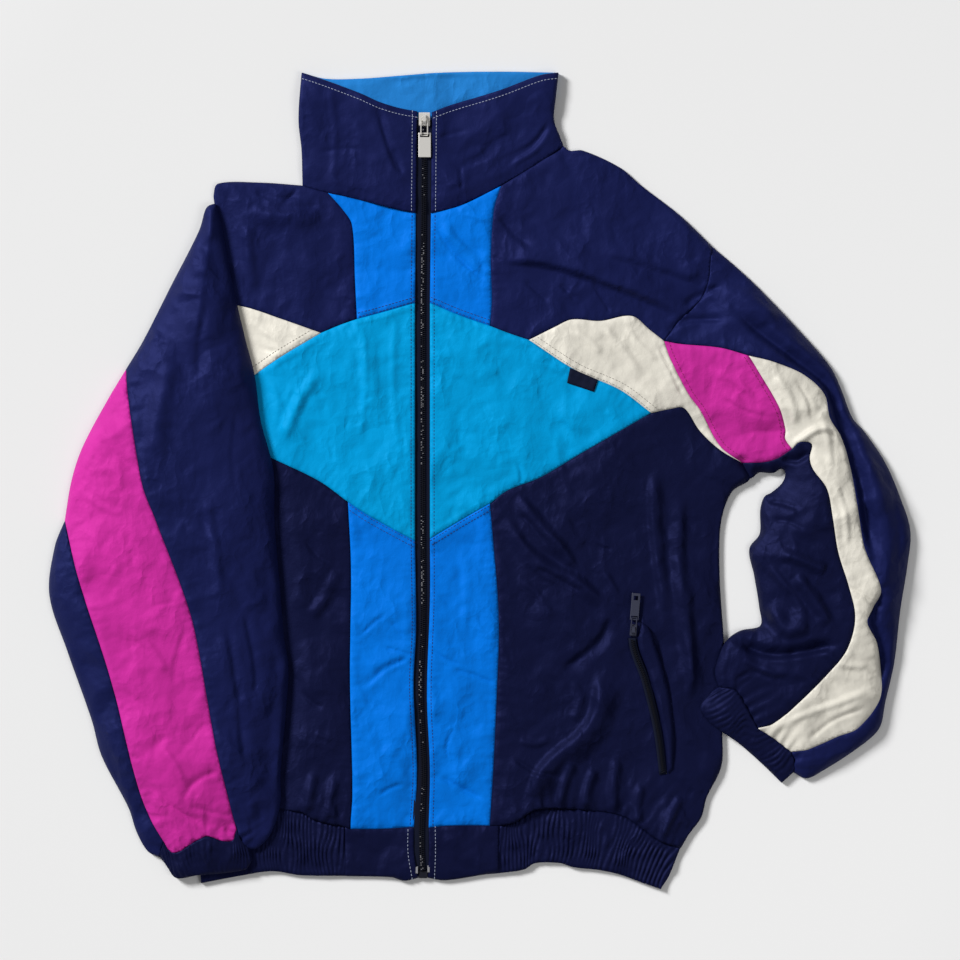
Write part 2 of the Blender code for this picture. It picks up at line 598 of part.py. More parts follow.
def lattice(spacing):
    """Even points in rows over the whole plan, each row shifted half a step from the last."""
    rows = []
    for row, y in enumerate(np.arange(LATTICE_LOW[1], LATTICE_HIGH[1], spacing * math.sqrt(3) / 2)):
        shift = spacing / 2 if row % 2 else 0.0
        rows += [(x, y) for x in np.arange(LATTICE_LOW[0] + shift, LATTICE_HIGH[0], spacing)]
    return np.array(rows)


NO_POINTS = np.empty((0, 2))


def thinned(points, kept, spacing):
    """The points that lie at least the spacing from every kept point."""
    if not len(kept) or not len(points):
        return points
    apart = np.linalg.norm(points[:, None] - kept[None], axis=2).min(axis=1)
    return points[apart >= spacing]


def edge_rings(edges, depths):
    """Points in from the free edges, which carry the cloth's rounded rim."""
    found = []
    for line in edges:
        for depth in depths:
            found += [beside(line, depth), beside(line, -depth)]
    return np.concatenate(found)


def fold_points(layers):
    """Points on the crest of each fold and along its two feet."""
    found = [NO_POINTS]
    for fold, line in FOLD_LINES:
        if fold.layer in layers:
            found += [line, beside(line, fold.left), beside(line, -fold.right)]
    return np.concatenate(found)


def carriers(layers, edges, depths, spacing, seams=()):
    """The points inside a layer that carry its form: its rims, its folds and an even lattice, clear of seams."""
    rims = edge_rings(edges, depths)
    folds = thinned(fold_points(layers), rims, LEAST_APART)
    even = thinned(lattice(spacing), np.concatenate([rims, folds]), spacing * LATTICE_GAP)
    found = np.concatenate([rims, folds, even])
    if seams:
        found = thinned(found[distance_to(found, seams) > KEEP_CLEAR], np.concatenate(seams), LEAST_APART)
    kept = found[:1]
    for spot in found[1:]:
        if np.linalg.norm(kept - spot, axis=1).min() > CARRIERS_APART:
            kept = np.concatenate([kept, [spot]])
    return kept


def crossed(border, creases):
    """An outline with a corner added wherever a crease crosses it."""
    corners = []
    for start, end in zip(border, np.roll(border, -1, axis=0)):
        corners.append(start)
        span = end - start
        shares = []
        for crease in creases:
            for first, second in zip(crease[:-1], crease[1:]):
                other = second - first
                turn = span[0] * other[1] - span[1] * other[0]
                if abs(turn) < 1e-9:
                    continue
                offset = first - start
                share = (offset[0] * other[1] - offset[1] * other[0]) / turn
                reach = (offset[0] * span[1] - offset[1] * span[0]) / turn
                near_end = min(share, 1 - share) * np.linalg.norm(span) < ON_CREASE
                if 0 <= reach <= 1 and not near_end:
                    shares.append(share)
        corners += [start + span * share for share in sorted(shares)]
    return np.array(corners)


def triangulated(border, creases, inner):
    """Triangles over an outline in plan that use the creases as edges and the inner points as corners."""
    rim = closed(border)
    spots = [border]
    links = [(i, (i + 1) % len(border)) for i in range(len(border))]
    count = len(border)
    for crease in creases:
        keep = inside(crease, border) & (nearest(crease, rim)[0] > 1.0)
        numbers = {}
        for index in np.flatnonzero(keep):
            numbers[index] = count
            count += 1
        spots.append(crease[keep])
        links += [(numbers[i], numbers[i + 1]) for i in numbers if i + 1 in numbers]
        for corner in np.flatnonzero(nearest(border, crease)[0] < ON_CREASE):
            apart = np.linalg.norm(crease - border[corner], axis=1)
            end = min(numbers, key=lambda i: apart[i], default=None)
            if end is not None and apart[end] < LEAST_APART:
                links.append((corner, numbers[end]))
    fixed = np.concatenate(spots)
    loose = inner[inside(inner, border)] if len(inner) else inner
    if len(loose):
        loose = loose[nearest(loose, rim)[0] > KEEP_CLEAR]
        loose = thinned(loose, fixed[len(border):], LEAST_APART)
        fixed = np.concatenate([fixed, loose])
    found = delaunay_2d_cdt([Vector(spot) for spot in fixed], links, [], 0, 1e-5, True)
    points = np.array([tuple(spot) for spot in found[0]])
    came_from = [ids[0] if ids else None for ids in found[3]]
    triangles = np.array(found[2])
    corners = points[triangles]
    spans = corners[:, 1:] - corners[:, :1]
    areas = np.abs(spans[:, 0, 0] * spans[:, 1, 1] - spans[:, 0, 1] * spans[:, 1, 0]) / 2
    on_border = np.array([i is not None and i < len(border) for i in came_from])[triangles].all(axis=1)
    kept = inside(corners.mean(axis=1), border) & ~(on_border & (areas < 0.05))
    return points, came_from, triangles[kept].tolist()


def wall(name, border, top, bottom, finish, inner=NO_POINTS, creases=(), plain_below=False):
    """A closed wall over an outline in plan, between its outer face and its inner face."""
    border = crossed(inset(border, HIDDEN_INSET if plain_below else SEAM / 2), creases)
    mesh = bpy.data.meshes.new(name)
    shape = bmesh.new()
    rims = []
    for surface, loose, upward in ((top, inner, True), (bottom, NO_POINTS if plain_below else inner, False)):
        points, came_from, triangles = triangulated(border, creases, loose)
        corners = [
            shape.verts.new((x * MM, y * MM, z * MM)) for (x, y), z in zip(points, surface(points))
        ]
        for triangle in triangles:
            shape.faces.new([corners[i] for i in (triangle if upward else triangle[::-1])])
        by_source = {source: vert for source, vert in zip(came_from, corners) if source is not None}
        rims.append([by_source[i] for i in range(len(border))])
    for here, there in zip(range(len(border)), [*range(1, len(border)), 0]):
        shape.faces.new((rims[0][there], rims[0][here], rims[1][here], rims[1][there]))
    bmesh.ops.delete(shape, geom=[vert for vert in shape.verts if not vert.link_faces], context="VERTS")
    shape.to_mesh(mesh)
    shape.free()
    return add_object(name, mesh, finish)


def even_points(line, count):
    """A polyline's points at even distances, on its own straight stretches."""
    lengths = np.concatenate([[0.0], np.cumsum(np.linalg.norm(np.diff(line, axis=0), axis=1))])
    wanted = np.linspace(0.0, lengths[-1], count)
    return np.stack([np.interp(wanted, lengths, line[:, axis]) for axis in (0, 1)], axis=1)


def ribbed_band(name, upper_names, lower_names, ribs, base, crest, finish, ribbed, inner_shares):
    """An elastic band: gathers run across it, raised in its outer face over a plain inside."""
    columns = 2 * ribs + 1
    top_line = even_points(chain(upper_names), columns)
    low_line = even_points(chain(lower_names), columns)
    if np.linalg.norm(top_line[0] - low_line[0]) > np.linalg.norm(top_line[0] - low_line[-1]):
        low_line = low_line[::-1]
    outer_shares = (0.0, 0.22, 0.78, 1.0)
    swells = np.array((0.3, 1.0, 1.0, 0.35))
    mesh = bpy.data.meshes.new(name)
    shape = bmesh.new()
    strips = []
    for column in range(columns):
        span = low_line[column] - top_line[column]
        back_off = span * (BAND_SEAM / np.linalg.norm(span))
        start = top_line[column] + back_off
        end = low_line[column] - back_off
        if column in (0, columns - 1):
            other = 1 if column == 0 else columns - 2
            aside = top_line[other] - top_line[column]
            aside = aside * (SEAM / 2 / np.linalg.norm(aside))
            start = start + aside
            end = end + aside
        outer = np.array([start + (end - start) * share for share in outer_shares])
        keep = np.ones(len(outer)) if ribbed is None else ribbed(outer)
        raised_by = crest * (column % 2) * swells * keep
        inner = np.array([start + (end - start) * share for share in inner_shares])
        strips.append([
            [shape.verts.new((x * MM, y * MM, z * MM)) for (x, y), z in zip(spots, heights)]
            for spots, heights in ((outer, base(outer) + CLOTH + raised_by), (inner, base(inner)))
        ])
    for here, there in zip(strips[:-1], strips[1:]):
        for left, right in zip(here, there):
            for row in range(len(left) - 1):
                shape.faces.new((left[row], right[row], right[row + 1], left[row + 1]))
        for row in (0, -1):
            shape.faces.new((here[0][row], here[1][row], there[1][row], there[0][row]))
    for outer, inner in (strips[0], strips[-1]):
        shape.faces.new(outer + inner[::-1])
    bmesh.ops.recalc_face_normals(shape, faces=shape.faces)
    bmesh.ops.triangulate(shape, faces=shape.faces)
    shape.to_mesh(mesh)
    shape.free()
    return add_object(name, mesh, finish)


def rounded_box(name, size, centre, finish, bevel, parent=None):
    bpy.ops.mesh.primitive_cube_add(size=1)
    made = bpy.context.active_object
    made.name = name
    made.data.name = name
    for vert in made.data.vertices:
        vert.co = Vector([vert.co[axis] * size[axis] * MM for axis in range(3)])
    for collection in made.users_collection:
        collection.objects.unlink(made)
    JACKET.objects.link(made)
    made.parent = parent or ORIGIN
    made.location = Vector(centre) * MM
    made.data.materials.append(finish)
    rounding = made.modifiers.new("rounded edges", "BEVEL")
    rounding.width = bevel * MM
    rounding.segments = 2
    return made


# ---------------------------------------------------------------- the jacket

for leftover in list(bpy.data.objects):
    bpy.data.objects.remove(leftover)
JACKET = bpy.data.collections.new("track_jacket")
bpy.context.scene.collection.children.link(JACKET)
CUTTERS = bpy.data.collections.new("cutters")
bpy.context.scene.collection.children.link(CUTTERS)
every_line = np.concatenate([LINES[name] for name in LINES])
MIDDLE = (every_line.min(axis=0) + every_line.max(axis=0)) / 2
ORIGIN = bpy.data.objects.new("jacket_origin", None)
JACKET.objects.link(ORIGIN)
ORIGIN.location = (-MIDDLE[0] * MM, -MIDDLE[1] * MM, 0.0)

navy = material("navy nylon", NAVY, 0.45, 0.0)
royal = material("royal blue nylon", ROYAL, 0.45, 0.0)
turquoise = material("turquoise nylon", TURQUOISE, 0.45, 0.0)
magenta = material("magenta nylon", MAGENTA, 0.45, 0.0)
pale = material("pale nylon", PALE, 0.45, 0.0)
dark = material("dark zip tape", DARK, 0.7, 0.0)
steel = material("brushed steel", STEEL, 0.35, 1.0)
lacquer = material("lacquered metal", LACQUER, 0.4, 0.6)

body_floor = level(CLOTH + SEAM)
body_inner = under(body_top, body_floor)
collar_inner = under(collar_top, level(RIM + SEAM))
BODY_POINTS = carriers(("body", "armhole"), BODY_EDGES, BODY_RINGS, LATTICE)
COLLAR_POINTS = carriers(("collar",), BODY_EDGES, COLLAR_RINGS, LATTICE)
LEFT_SEAMS = [LINES[name] for name in ("stripe_inner", "stripe_outer")]
RIGHT_SEAMS = [LINES[name] for name in ("block_top", "block_side", "block_low", "pale_outer", "pale_inner")]
LEFT_POINTS = carriers(("left",), LEFT_EDGES, LEFT_RINGS, LATTICE, LEFT_SEAMS)
RIGHT_POINTS = carriers(("right", "armhole"), RIGHT_EDGES, RIGHT_RINGS, RIGHT_LATTICE, RIGHT_SEAMS)
LEFT_STEPS = [beside(LEFT_STEP, -STEP_NEAR), beside(LEFT_STEP, -STEP_FAR)]
RIGHT_STEPS = [beside(RIGHT_STEP, STEP_NEAR), beside(RIGHT_STEP, STEP_FAR)]
COVER_LINES = [
    beside(LINES["sleeve_inner"], COVER_MARGIN),
    beside(FOREARM_OVER_BODY[:9], -COVER_MARGIN),
]

BODY_PANELS = [
    ("shoulder_left", navy,
     "neck_outer_left strip_left brow_left band_top_left side_top_left shoulder_top_left"),
    ("shoulder_right", navy,
     "neck_outer_right shoulder_top_right armhole_top band_top_right brow_right strip_right"),
    ("chest_strip_left", royal, "neck_inner_left zip_chest_left peak_left strip_left"),
    ("chest_strip_right", royal, "neck_inner_right zip_chest_right peak_right strip_right"),
    ("chest_band_left", pale, "band_top_left side_band_left band_end_left band_low_left"),
    ("chest_band_right", pale, "band_top_right armhole_low band_end_right band_low_right"),
    ("diamond_left", turquoise,
     "peak_left brow_left band_low_left point_left keel_left zip_diamond_left"),
    ("diamond_right", turquoise,
     "peak_right brow_right band_low_right point_right keel_right zip_diamond_right"),
    ("front_left", navy,
     "point_left waist_left hem_turn_left hem_seam_left side_low_left band_end_left"),
    ("front_right", navy,
     "point_right band_end_right side_right hem_seam_right hem_turn_right waist_right"),
    ("waist_strip_left", royal, "keel_left zip_waist_left hem_strip_left waist_left"),
    ("waist_strip_right", royal, "keel_right zip_waist_right hem_strip_right waist_right"),
    ("hem_facing_left", navy,
     "hem_turn_left hem_strip_left zip_hem_left facing_edge_left facing_side_left"),
    ("hem_facing_right", navy,
     "hem_turn_right hem_strip_right zip_hem_right facing_edge_right facing_side_right"),
]
for name, cloth, seams in BODY_PANELS:
    wall(name, outline(seams), body_top, body_inner, cloth, BODY_POINTS, COVER_LINES)

back_edge = (
    "shoulder_top_left neck_back shoulder_top_right armhole_top armhole_low side_right hem_seam_right"
    " hem_turn_right hem_strip_right"
)
back_rest = "hem_strip_left hem_turn_left hem_seam_left side_low_left side_band_left side_top_left"
wall("back", outline(back_edge + " " + back_rest), level(CLOTH), level(0), navy)
wall(
    "hem_back",
    outline(
        "hem_seam_left hem_turn_left hem_strip_left hem_strip_right hem_turn_right hem_seam_right hem_end_right"
        " hem_edge_right facing_edge_right facing_edge_left hem_edge_left hem_end_left"
    ),
    level(CLOTH), level(0), navy,
)

collar_back = outline("collar_top collar_side_right neck_back collar_side_left")
wall("collar_back", collar_back, level(CLOTH), level(0), navy)
lining = np.concatenate([LINES["collar_top"], LINES["lining_lower"]])[::-1]
wall("collar_lining", inset(lining, LINING_INSET), level(RIM), level(CLOTH + SEAM), royal)
for name, seams in (
    ("collar_left", "collar_edge_left zip_collar_left neck_inner_left neck_outer_left collar_side_left"),
    ("collar_right", "collar_edge_right zip_collar_right neck_inner_right neck_outer_right collar_side_right"),
):
    wall(name, outline(seams), collar_top, collar_inner, navy, COLLAR_POINTS)

# ---------------------------------------------------------------- hem band and cuffs


def seen_hem(points):
    """0 where the hem's left end lies flat under the sleeve."""
    return ease((points[:, 0] - HEM_SEEN_FROM) / HEM_SEEN_BLEND)


left_rest = raised(left_floor, HIDDEN_CLOTH)
right_rest = raised(right_floor, HIDDEN_CLOTH)
left_inner = under(left_top, raised(left_floor, CLOTH + SEAM))
right_inner = under(right_top, raised(right_floor, CLOTH + SEAM))
HEM_ROWS = (0.0, 1.0)  # where the inside of a band has points, across it
CUFF_ROWS = (0.0, 0.5, 1.0)
for name, upper, lower, ribs, base, crest, seen, rows in (
    ("hem_elastic_left", "hem_seam_left", "hem_edge_left", HEM_RIBS_LEFT,
     body_floor, HEM_RIB, seen_hem, HEM_ROWS),
    ("hem_elastic_right", "hem_seam_right", "hem_edge_right", HEM_RIBS_RIGHT,
     body_floor, HEM_RIB, None, HEM_ROWS),
    ("cuff_left", "cuff_seam_back cuff_seam_stripe cuff_seam_front", "cuff_left_edge", CUFF_RIBS,
     raised(left_inner, SEAM), CUFF_RIB, None, CUFF_ROWS),
    ("cuff_right", "cuff_seam_inner cuff_seam_pale cuff_seam_outer", "cuff_right_edge", CUFF_RIBS,
     raised(right_inner, SEAM), CUFF_RIB, None, CUFF_ROWS),
):
    ribbed_band(name, upper, lower, ribs, base, crest, navy, seen, rows)
for name, border, top, rest, floor, loose, steps in (
    ("cuff_left_under", CUFF_LEFT, left_top, left_rest, left_floor, LEFT_POINTS, LEFT_STEPS),
    ("cuff_right_under", CUFF_RIGHT, right_top, right_rest, right_floor, RIGHT_POINTS, RIGHT_STEPS),
):
    wall(name, border, under(top, rest, CUFF_SLACK), floor, navy, loose, steps, plain_below=True)

# ---------------------------------------------------------------- sleeves

wall(
    "sleeve_left_under",
    outline("sleeve_inner cuff_seam_front cuff_seam_stripe cuff_seam_back sleeve_outer_low sleeve_outer_stripe"
            " sleeve_outer_top"),
    under(left_top, left_rest, HIDDEN_SLACK), left_floor, navy, LEFT_POINTS, LEFT_STEPS + LEFT_SEAMS,
    plain_below=True,
)
for name, cloth, seams in (
    ("sleeve_left_front", navy, "sleeve_outer_top stripe_inner cuff_seam_front sleeve_inner"),
    ("sleeve_left_stripe", magenta, "sleeve_outer_stripe stripe_outer cuff_seam_stripe stripe_inner"),
    ("sleeve_left_back", navy, "sleeve_outer_low cuff_seam_back stripe_outer"),
):
    wall(name, outline(seams), left_top, left_inner, cloth, LEFT_POINTS, LEFT_STEPS)

wall(
    "sleeve_right_under",
    outline("armhole_top armhole_low arm_inner cuff_seam_inner cuff_seam_pale cuff_seam_outer arm_outer"),
    under(right_top, right_rest, HIDDEN_SLACK), right_floor, navy, RIGHT_POINTS, RIGHT_STEPS + RIGHT_SEAMS,
    plain_below=True,
)
for name, cloth, seams in (
    ("sleeve_right_top", navy, "armhole_top block_top pale_outer cuff_seam_outer arm_outer"),
    ("sleeve_right_magenta", magenta, "block_top armhole_low block_low block_side"),
    ("sleeve_right_white", pale, "block_side pale_outer cuff_seam_pale pale_inner"),
    ("sleeve_right_inner", navy, "block_low pale_inner cuff_seam_inner arm_inner"),
):
    wall(name, outline(seams), right_top, right_inner, cloth, RIGHT_POINTS, RIGHT_STEPS)

# ---------------------------------------------------------------- front zip

ZIP_LEFT = chain("zip_collar_left zip_chest_left zip_diamond_left zip_waist_left zip_hem_left")[::-1]
ZIP_RIGHT = chain("zip_collar_right zip_chest_right zip_diamond_right zip_waist_right zip_hem_right")[::-1]


def zip_middle(heights):
    left = np.interp(heights, ZIP_LEFT[:, 1], ZIP_LEFT[:, 0])
    right = np.interp(heights, ZIP_RIGHT[:, 1], ZIP_RIGHT[:, 0])
    return (left + right) / 2


def zip_level(points):
    """The cloth's height along the zip, its folds left out."""
    loft = BODY_LOFT * swell(distance_to(points, BODY_EDGES) / BODY_ROUND)
    lift = COLLAR_LIFT * ease(distance_to(points, NECK) / COLLAR_BLEND)
    return RIM + loft + np.where(points[:, 1] > LINES["neck_inner_left"][-1][1], lift, 0.0)


def zip_side(shift, low, high):
    """Points beside the zip's middle, from its low end to its high end."""
    heights = np.linspace(low, high, ZIP_POINTS)
    return np.stack([zip_middle(heights) + shift, heights], axis=1)


tape_top = raised(zip_level, -TAPE_SINK)
for side, edge in ((-1, ZIP_LEFT), (1, ZIP_RIGHT)):
    outer = edge[(edge[:, 1] > CHAIN_ENDS[0] + 1) & (edge[:, 1] < TAPE_TOP - 1)]
    ends = [np.array([[np.interp(y, edge[:, 1], edge[:, 0]), y]]) for y in (CHAIN_ENDS[0], TAPE_TOP)]
    outer = np.concatenate([ends[0], outer, ends[1]])
    middle = zip_side(side * (CHAIN_WIDTH / 2 + SEAM / 2), CHAIN_ENDS[0], TAPE_TOP)
    wall(
        "zip_tape_left" if side < 0 else "zip_tape_right",
        anticlockwise(np.concatenate([outer, middle[::-1]])),
        tape_top, raised(tape_top, -TAPE), dark,
    )
chain_half = (CHAIN_WIDTH + SEAM) / 2
chain_border = np.concatenate([zip_side(-chain_half, *CHAIN_ENDS), zip_side(chain_half, *CHAIN_ENDS)[::-1]])
chain_top = raised(zip_level, -CHAIN_SINK)
wall("zip_chain", anticlockwise(chain_border), chain_top, raised(chain_top, -CHAIN_HEIGHT), dark)
rounded_box("zip_box", (8.4, 7.4, 2.6), (0.1, 5.4, 4.2), dark, 0.6)


def cut(made, name, size, centre, parent):
    """Cuts a box-shaped hole."""
    cutter = rounded_box(name, size, centre, made.data.materials[0], 0.05, parent)
    cutter.hide_render = True
    cutter.display_type = "WIRE"
    JACKET.objects.unlink(cutter)
    CUTTERS.objects.link(cutter)
    hole = made.modifiers.new("hole", "BOOLEAN")
    hole.operation = "DIFFERENCE"
    hole.object = cutter


def empty(name, location, parent, turn=0.0):
    made = bpy.data.objects.new(name, None)
    JACKET.objects.link(made)
    made.parent = parent
    made.location = Vector(location) * MM
    made.rotation_euler = (0.0, 0.0, turn)
    return made


def slider(name, size, finish, seat):
    """A zip slider: a plate and, over it, a bridge with an eye across it."""
    wide, long, thick = size
    bridge_long = long * BRIDGE_SHARE
    mesh = bpy.data.meshes.new(name)
    shape = bmesh.new()
    outline_side = [
        (-long / 2, 0), (long / 2, 0), (long / 2, thick * 0.55), (long * 0.4, thick), (bridge_long / 2, thick),
        (bridge_long / 2, thick + BRIDGE * 0.6), (bridge_long * 0.3, thick + BRIDGE),
        (-bridge_long * 0.3, thick + BRIDGE), (-bridge_long / 2, thick + BRIDGE * 0.6),
        (-bridge_long / 2, thick), (-long * 0.42, thick), (-long / 2, thick * 0.6),
    ]
    rings = []
    for half in (-wide / 2, wide / 2):
        rings.append([shape.verts.new((half * MM, y * MM, z * MM)) for y, z in outline_side])
    shape.faces.new(rings[0][::-1])
    shape.faces.new(rings[1])
    for first, second in zip(range(len(outline_side)), [*range(1, len(outline_side)), 0]):
        shape.faces.new((rings[0][first], rings[0][second], rings[1][second], rings[1][first]))
    bmesh.ops.recalc_face_normals(shape, faces=shape.faces)
    shape.to_mesh(mesh)
    shape.free()
    made = add_object(name, mesh, finish)
    made.parent = seat
    flank = (wide - BRIDGE_WIDTH) / 2 + 1.0
    for side in (-1, 1):
        cut(
            made, name + f"_flank_{side + 1}", (flank, long + 2, BRIDGE + 1),
            (side * (BRIDGE_WIDTH / 2 + flank / 2), 0, thick + BRIDGE / 2 + 0.5), seat,
        )
    cut(made, name + "_eye", (8.0, bridge_long - 3.4, EYE), (0, 0, thick + EYE / 2 + 0.2), seat)
    return made


def link(name, points, radius, finish, hinge):
    """A bent wire loop."""
    wire = bpy.data.curves.new(name, "CURVE")
    wire.dimensions = "3D"
    wire.bevel_depth = radius * MM
    wire.bevel_resolution = 1
    run = wire.splines.new("POLY")
    run.points.add(len(points) - 1)
    for point, spot in zip(run.points, points):
        point.co = (*(value * MM for value in spot), 1.0)
    run.use_cyclic_u = True
    wire.materials.append(finish)
    made = bpy.data.objects.new(name, wire)
    JACKET.objects.link(made)
    made.parent = hinge
    return made


def loop_points(half, reach, dip, hump):
    """A loop round its hinge bar: the arms rise over the tab's end, then dip into its slot."""
    sides = [(half, 0.0, 0.0), (half, -reach + 4.0, hump), (half, -reach + 1.2, hump), (half, -reach, dip)]
    ends = [(-x, y, z) for x, y, z in reversed(sides)]
    return sides + ends


# pull of the front zip: the tab hangs down the chain
seat = empty("zip_seat", SLIDER_SPOT, ORIGIN)
slider("zip_slider", SLIDER, steel, seat)
hinge = empty("zip_hinge", (0.0, -1.2, SLIDER[2] + 0.2 + EYE / 2), seat)
link("zip_pull_link", loop_points(3.3, 15.0, -2.1, 0.1), 0.7, steel, hinge)
tab = rounded_box("zip_pull_tab", PULL_TAB, PULL_TAB_SPOT, steel, 0.5, hinge)
cut(tab, "zip_tab_slot", (9.4, 3.2, 4.0), (0.3, -15.2, -2.2), hinge)

# ---------------------------------------------------------------- pocket

POCKET = POCKET_PATH[(POCKET_PATH[:, 1] < POCKET_ENDS[1]) & (POCKET_PATH[:, 1] > POCKET_ENDS[0])]
pocket_base = RIM + BODY_LOFT + SEAM


def strip_beside(path, half):
    return anticlockwise(np.concatenate([beside(path, half), beside(path, -half)[::-1]]))


chain_low = pocket_base + TAPE + SEAM
for name, border, low, high in (
    ("pocket_tape", strip_beside(POCKET, POCKET_TAPE_HALF), pocket_base, pocket_base + TAPE),
    ("pocket_chain", strip_beside(POCKET[1:-1], POCKET_CHAIN_HALF), chain_low, chain_low + POCKET_CHAIN_HEIGHT),
):
    wall(name, border, level(high), level(low), dark)
welt_edge = smooth_line(
    [(219, 258), (226.6, 251), (233, 234), (243.7, 200), (250, 163.5), (251.5, 138), (250, 112)], WELT_POINTS
)
welt_side = beside(POCKET, POCKET_TAPE_HALF + WELT_GAP)
welt_border = anticlockwise(np.concatenate([welt_edge, welt_side[::-1]]))
welt_middle = (welt_edge[1:-1] + welt_side[1:len(welt_edge) - 1]) / 2


def welt_top(points):
    """The welt stands highest between its two edges."""
    across = nearest(points, closed(welt_border))[0]
    return pocket_base + WELT_EDGE_HEIGHT + WELT_CROWN * ease(across / WELT_ROUND)


wall("pocket_welt", welt_border, welt_top, level(pocket_base), navy, welt_middle)

pocket_seat = empty("pocket_seat", (210.2, 250.0, pocket_base + 0.1), ORIGIN, POCKET_LEAN + math.pi)
slider("pocket_slider", POCKET_SLIDER, lacquer, pocket_seat)
pocket_hinge = empty("pocket_hinge", (0.0, -0.6, POCKET_SLIDER[2] + 0.2 + EYE / 2), pocket_seat)
link("pocket_pull_link", loop_points(2.5, 12.0, -1.3, 0.1), 0.6, lacquer, pocket_hinge)
pocket_tab = rounded_box("pocket_pull_tab", POCKET_TAB, POCKET_TAB_SPOT, lacquer, 0.5, pocket_hinge)
cut(pocket_tab, "pocket_tab_slot", (6.8, 2.8, 4.0), (0, -12.2, -1.3), pocket_hinge)
cut(pocket_tab, "pocket_tab_hole", (4.4, 4.4, 4.0), (0, -31.6, -1.3), pocket_hinge)

# bare label tab in the chest seam
label = anticlockwise(np.array([(147, 512), (175, 500), (171, 488), (144, 497)], float))
label_rest = level(RIM + BODY_LOFT + SEAM)
wall("seam_label", label, raised(label_rest, LABEL_THICKNESS), label_rest, navy)
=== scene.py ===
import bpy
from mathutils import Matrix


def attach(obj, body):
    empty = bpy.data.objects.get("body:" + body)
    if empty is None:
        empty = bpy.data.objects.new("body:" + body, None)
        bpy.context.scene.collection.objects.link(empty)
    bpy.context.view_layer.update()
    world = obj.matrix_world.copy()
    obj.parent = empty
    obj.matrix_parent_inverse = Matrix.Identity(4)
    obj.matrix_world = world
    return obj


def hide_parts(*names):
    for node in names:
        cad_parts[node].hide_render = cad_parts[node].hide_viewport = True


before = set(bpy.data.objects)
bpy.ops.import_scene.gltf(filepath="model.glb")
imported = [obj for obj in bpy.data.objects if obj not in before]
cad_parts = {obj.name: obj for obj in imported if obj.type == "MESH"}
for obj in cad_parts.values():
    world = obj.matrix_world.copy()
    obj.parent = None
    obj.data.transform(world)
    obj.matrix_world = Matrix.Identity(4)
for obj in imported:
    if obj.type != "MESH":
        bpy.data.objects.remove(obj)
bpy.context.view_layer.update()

# The looks of a track jacket laid flat: fine cloth on the form of its solids, zip teeth, stitching,
# materials, floor, light and camera. The plan of every seam is in millimetres, measured from the front
# zip's centre line (x) and from the bottom of the hem (y); heights are millimetres above the surface that
# the jacket lies on.

import collections
import math

import bpy
import numpy as np
from mathutils import Vector
from mathutils.geometry import delaunay_2d_cdt

MM = 0.001
MIDDLE = (56.994, 399.496)  # the plan's point that lies on the frame's origin

# The form of the solids, in millimetres.
CLOTH = 2.2
SEAM = 0.3
RIM = 2 * CLOTH + SEAM
COVERED = RIM + SEAM
BODY_LOFT = 3.4
BODY_ROUND = 18.0
LEFT_LOFT = 19.0
LEFT_ROUND = 62.0
RIGHT_LOFT = 19.0
RIGHT_ROUND = 46.0
ARMHOLE_BLEND = 90.0
COLLAR_LIFT = CLOTH + SEAM
COLLAR_BLEND = 15.0
COVER_MARGIN = 3.0
COVER_BLEND = 22.0
STEP_NEAR = 2.5
STEP_FAR = 16.0
FOREARM_TOP = 272.0  # the right forearm lies over the body below this y
SOFT_STEP = 58.0  # the seen side of a sleeve settles over this distance
CUFF_LOFT = 0.45
CUFF_BLEND = 85.0
POCKET_CLEAR = 13.0
POCKET_BLEND = 12.0

# Fine form.
GRID = 2.1  # spacing of the cloth's points
EDGE_GRID = 2.6  # and of those along a seam
HIDDEN_GRID = 5.0
MEASURE_GRID = 8.0  # along the lines that distances are measured from
FOLD_GRID = 7.0
SHELL = 0.7  # thickness of the shown cloth
SEAM_DIP = 1.1
SEAM_DIP_WIDTH = 2.6
PUCKER = 0.42
PUCKER_REACH = 9.0
PUCKER_LENGTH = 8.5
GATHER = 1.3
GATHER_REACH = 24.0
GATHER_LENGTH = 10.5
WANDER_SIZE = 16.0  # how soon puckers and gathers stray from even, and change in strength
STRENGTH_SIZE = 45.0
CRUMPLE = 1.15
SLEEVE_CRUMPLE = 1.3 * CRUMPLE
WAVE_HEIGHT = 0.9  # the soft waves under the facets
WAVE_SIZE = 46.0
FACETS = (  # size, turn in radians, height
    (52.0, 0.3, 2.8), (26.0, 1.4, 2.2), (13.0, 2.5, 1.1), (8.0, 0.9, 0.5),
)
FACET_DRIFT = 0.34
FACET_STRETCH = (1.0, 0.58)
STEEP_SIDE = 0.55  # a hollow's right side is this much narrower
FAINT_DIP = 0.25
ZIP_CALM = 16.0  # the cloth lies smoother this near the zip
FOLD_EDGE = 12.0  # folds and fine creases die away over these distances from a free edge
FINE_EDGE = 6.0
# How much stronger the hollows of each layer are here, and every raised fold, than the table's height.
DEEPER = {"body": 1.5, "armhole": 1.2, "collar": 1.2, "left": 0.5, "right": 1.1, "below": 1.0}
HIGHER = 1.2
FELLED = "band_low_left band_low_right peak_left peak_right keel_left keel_right".split()
FELL_WIDTH = 6.0  # a felled seam's strip, and how far it stands up
FELL_HEIGHT = 0.55
LOWEST = 3.3  # the fronts stay over the back
ELASTIC_ROWS = 4
RIB_POINTS = 8  # columns of points to each rib of a band, and rows across it
BAND_ROWS = 15
TURNED = ((0.35, 0.35), (1.4, 0.5), (3.0, 0.2))  # a band's edge rolled under: drop, and reach past the edge
SKIRT = 1.6  # how far a seam's edge turns down
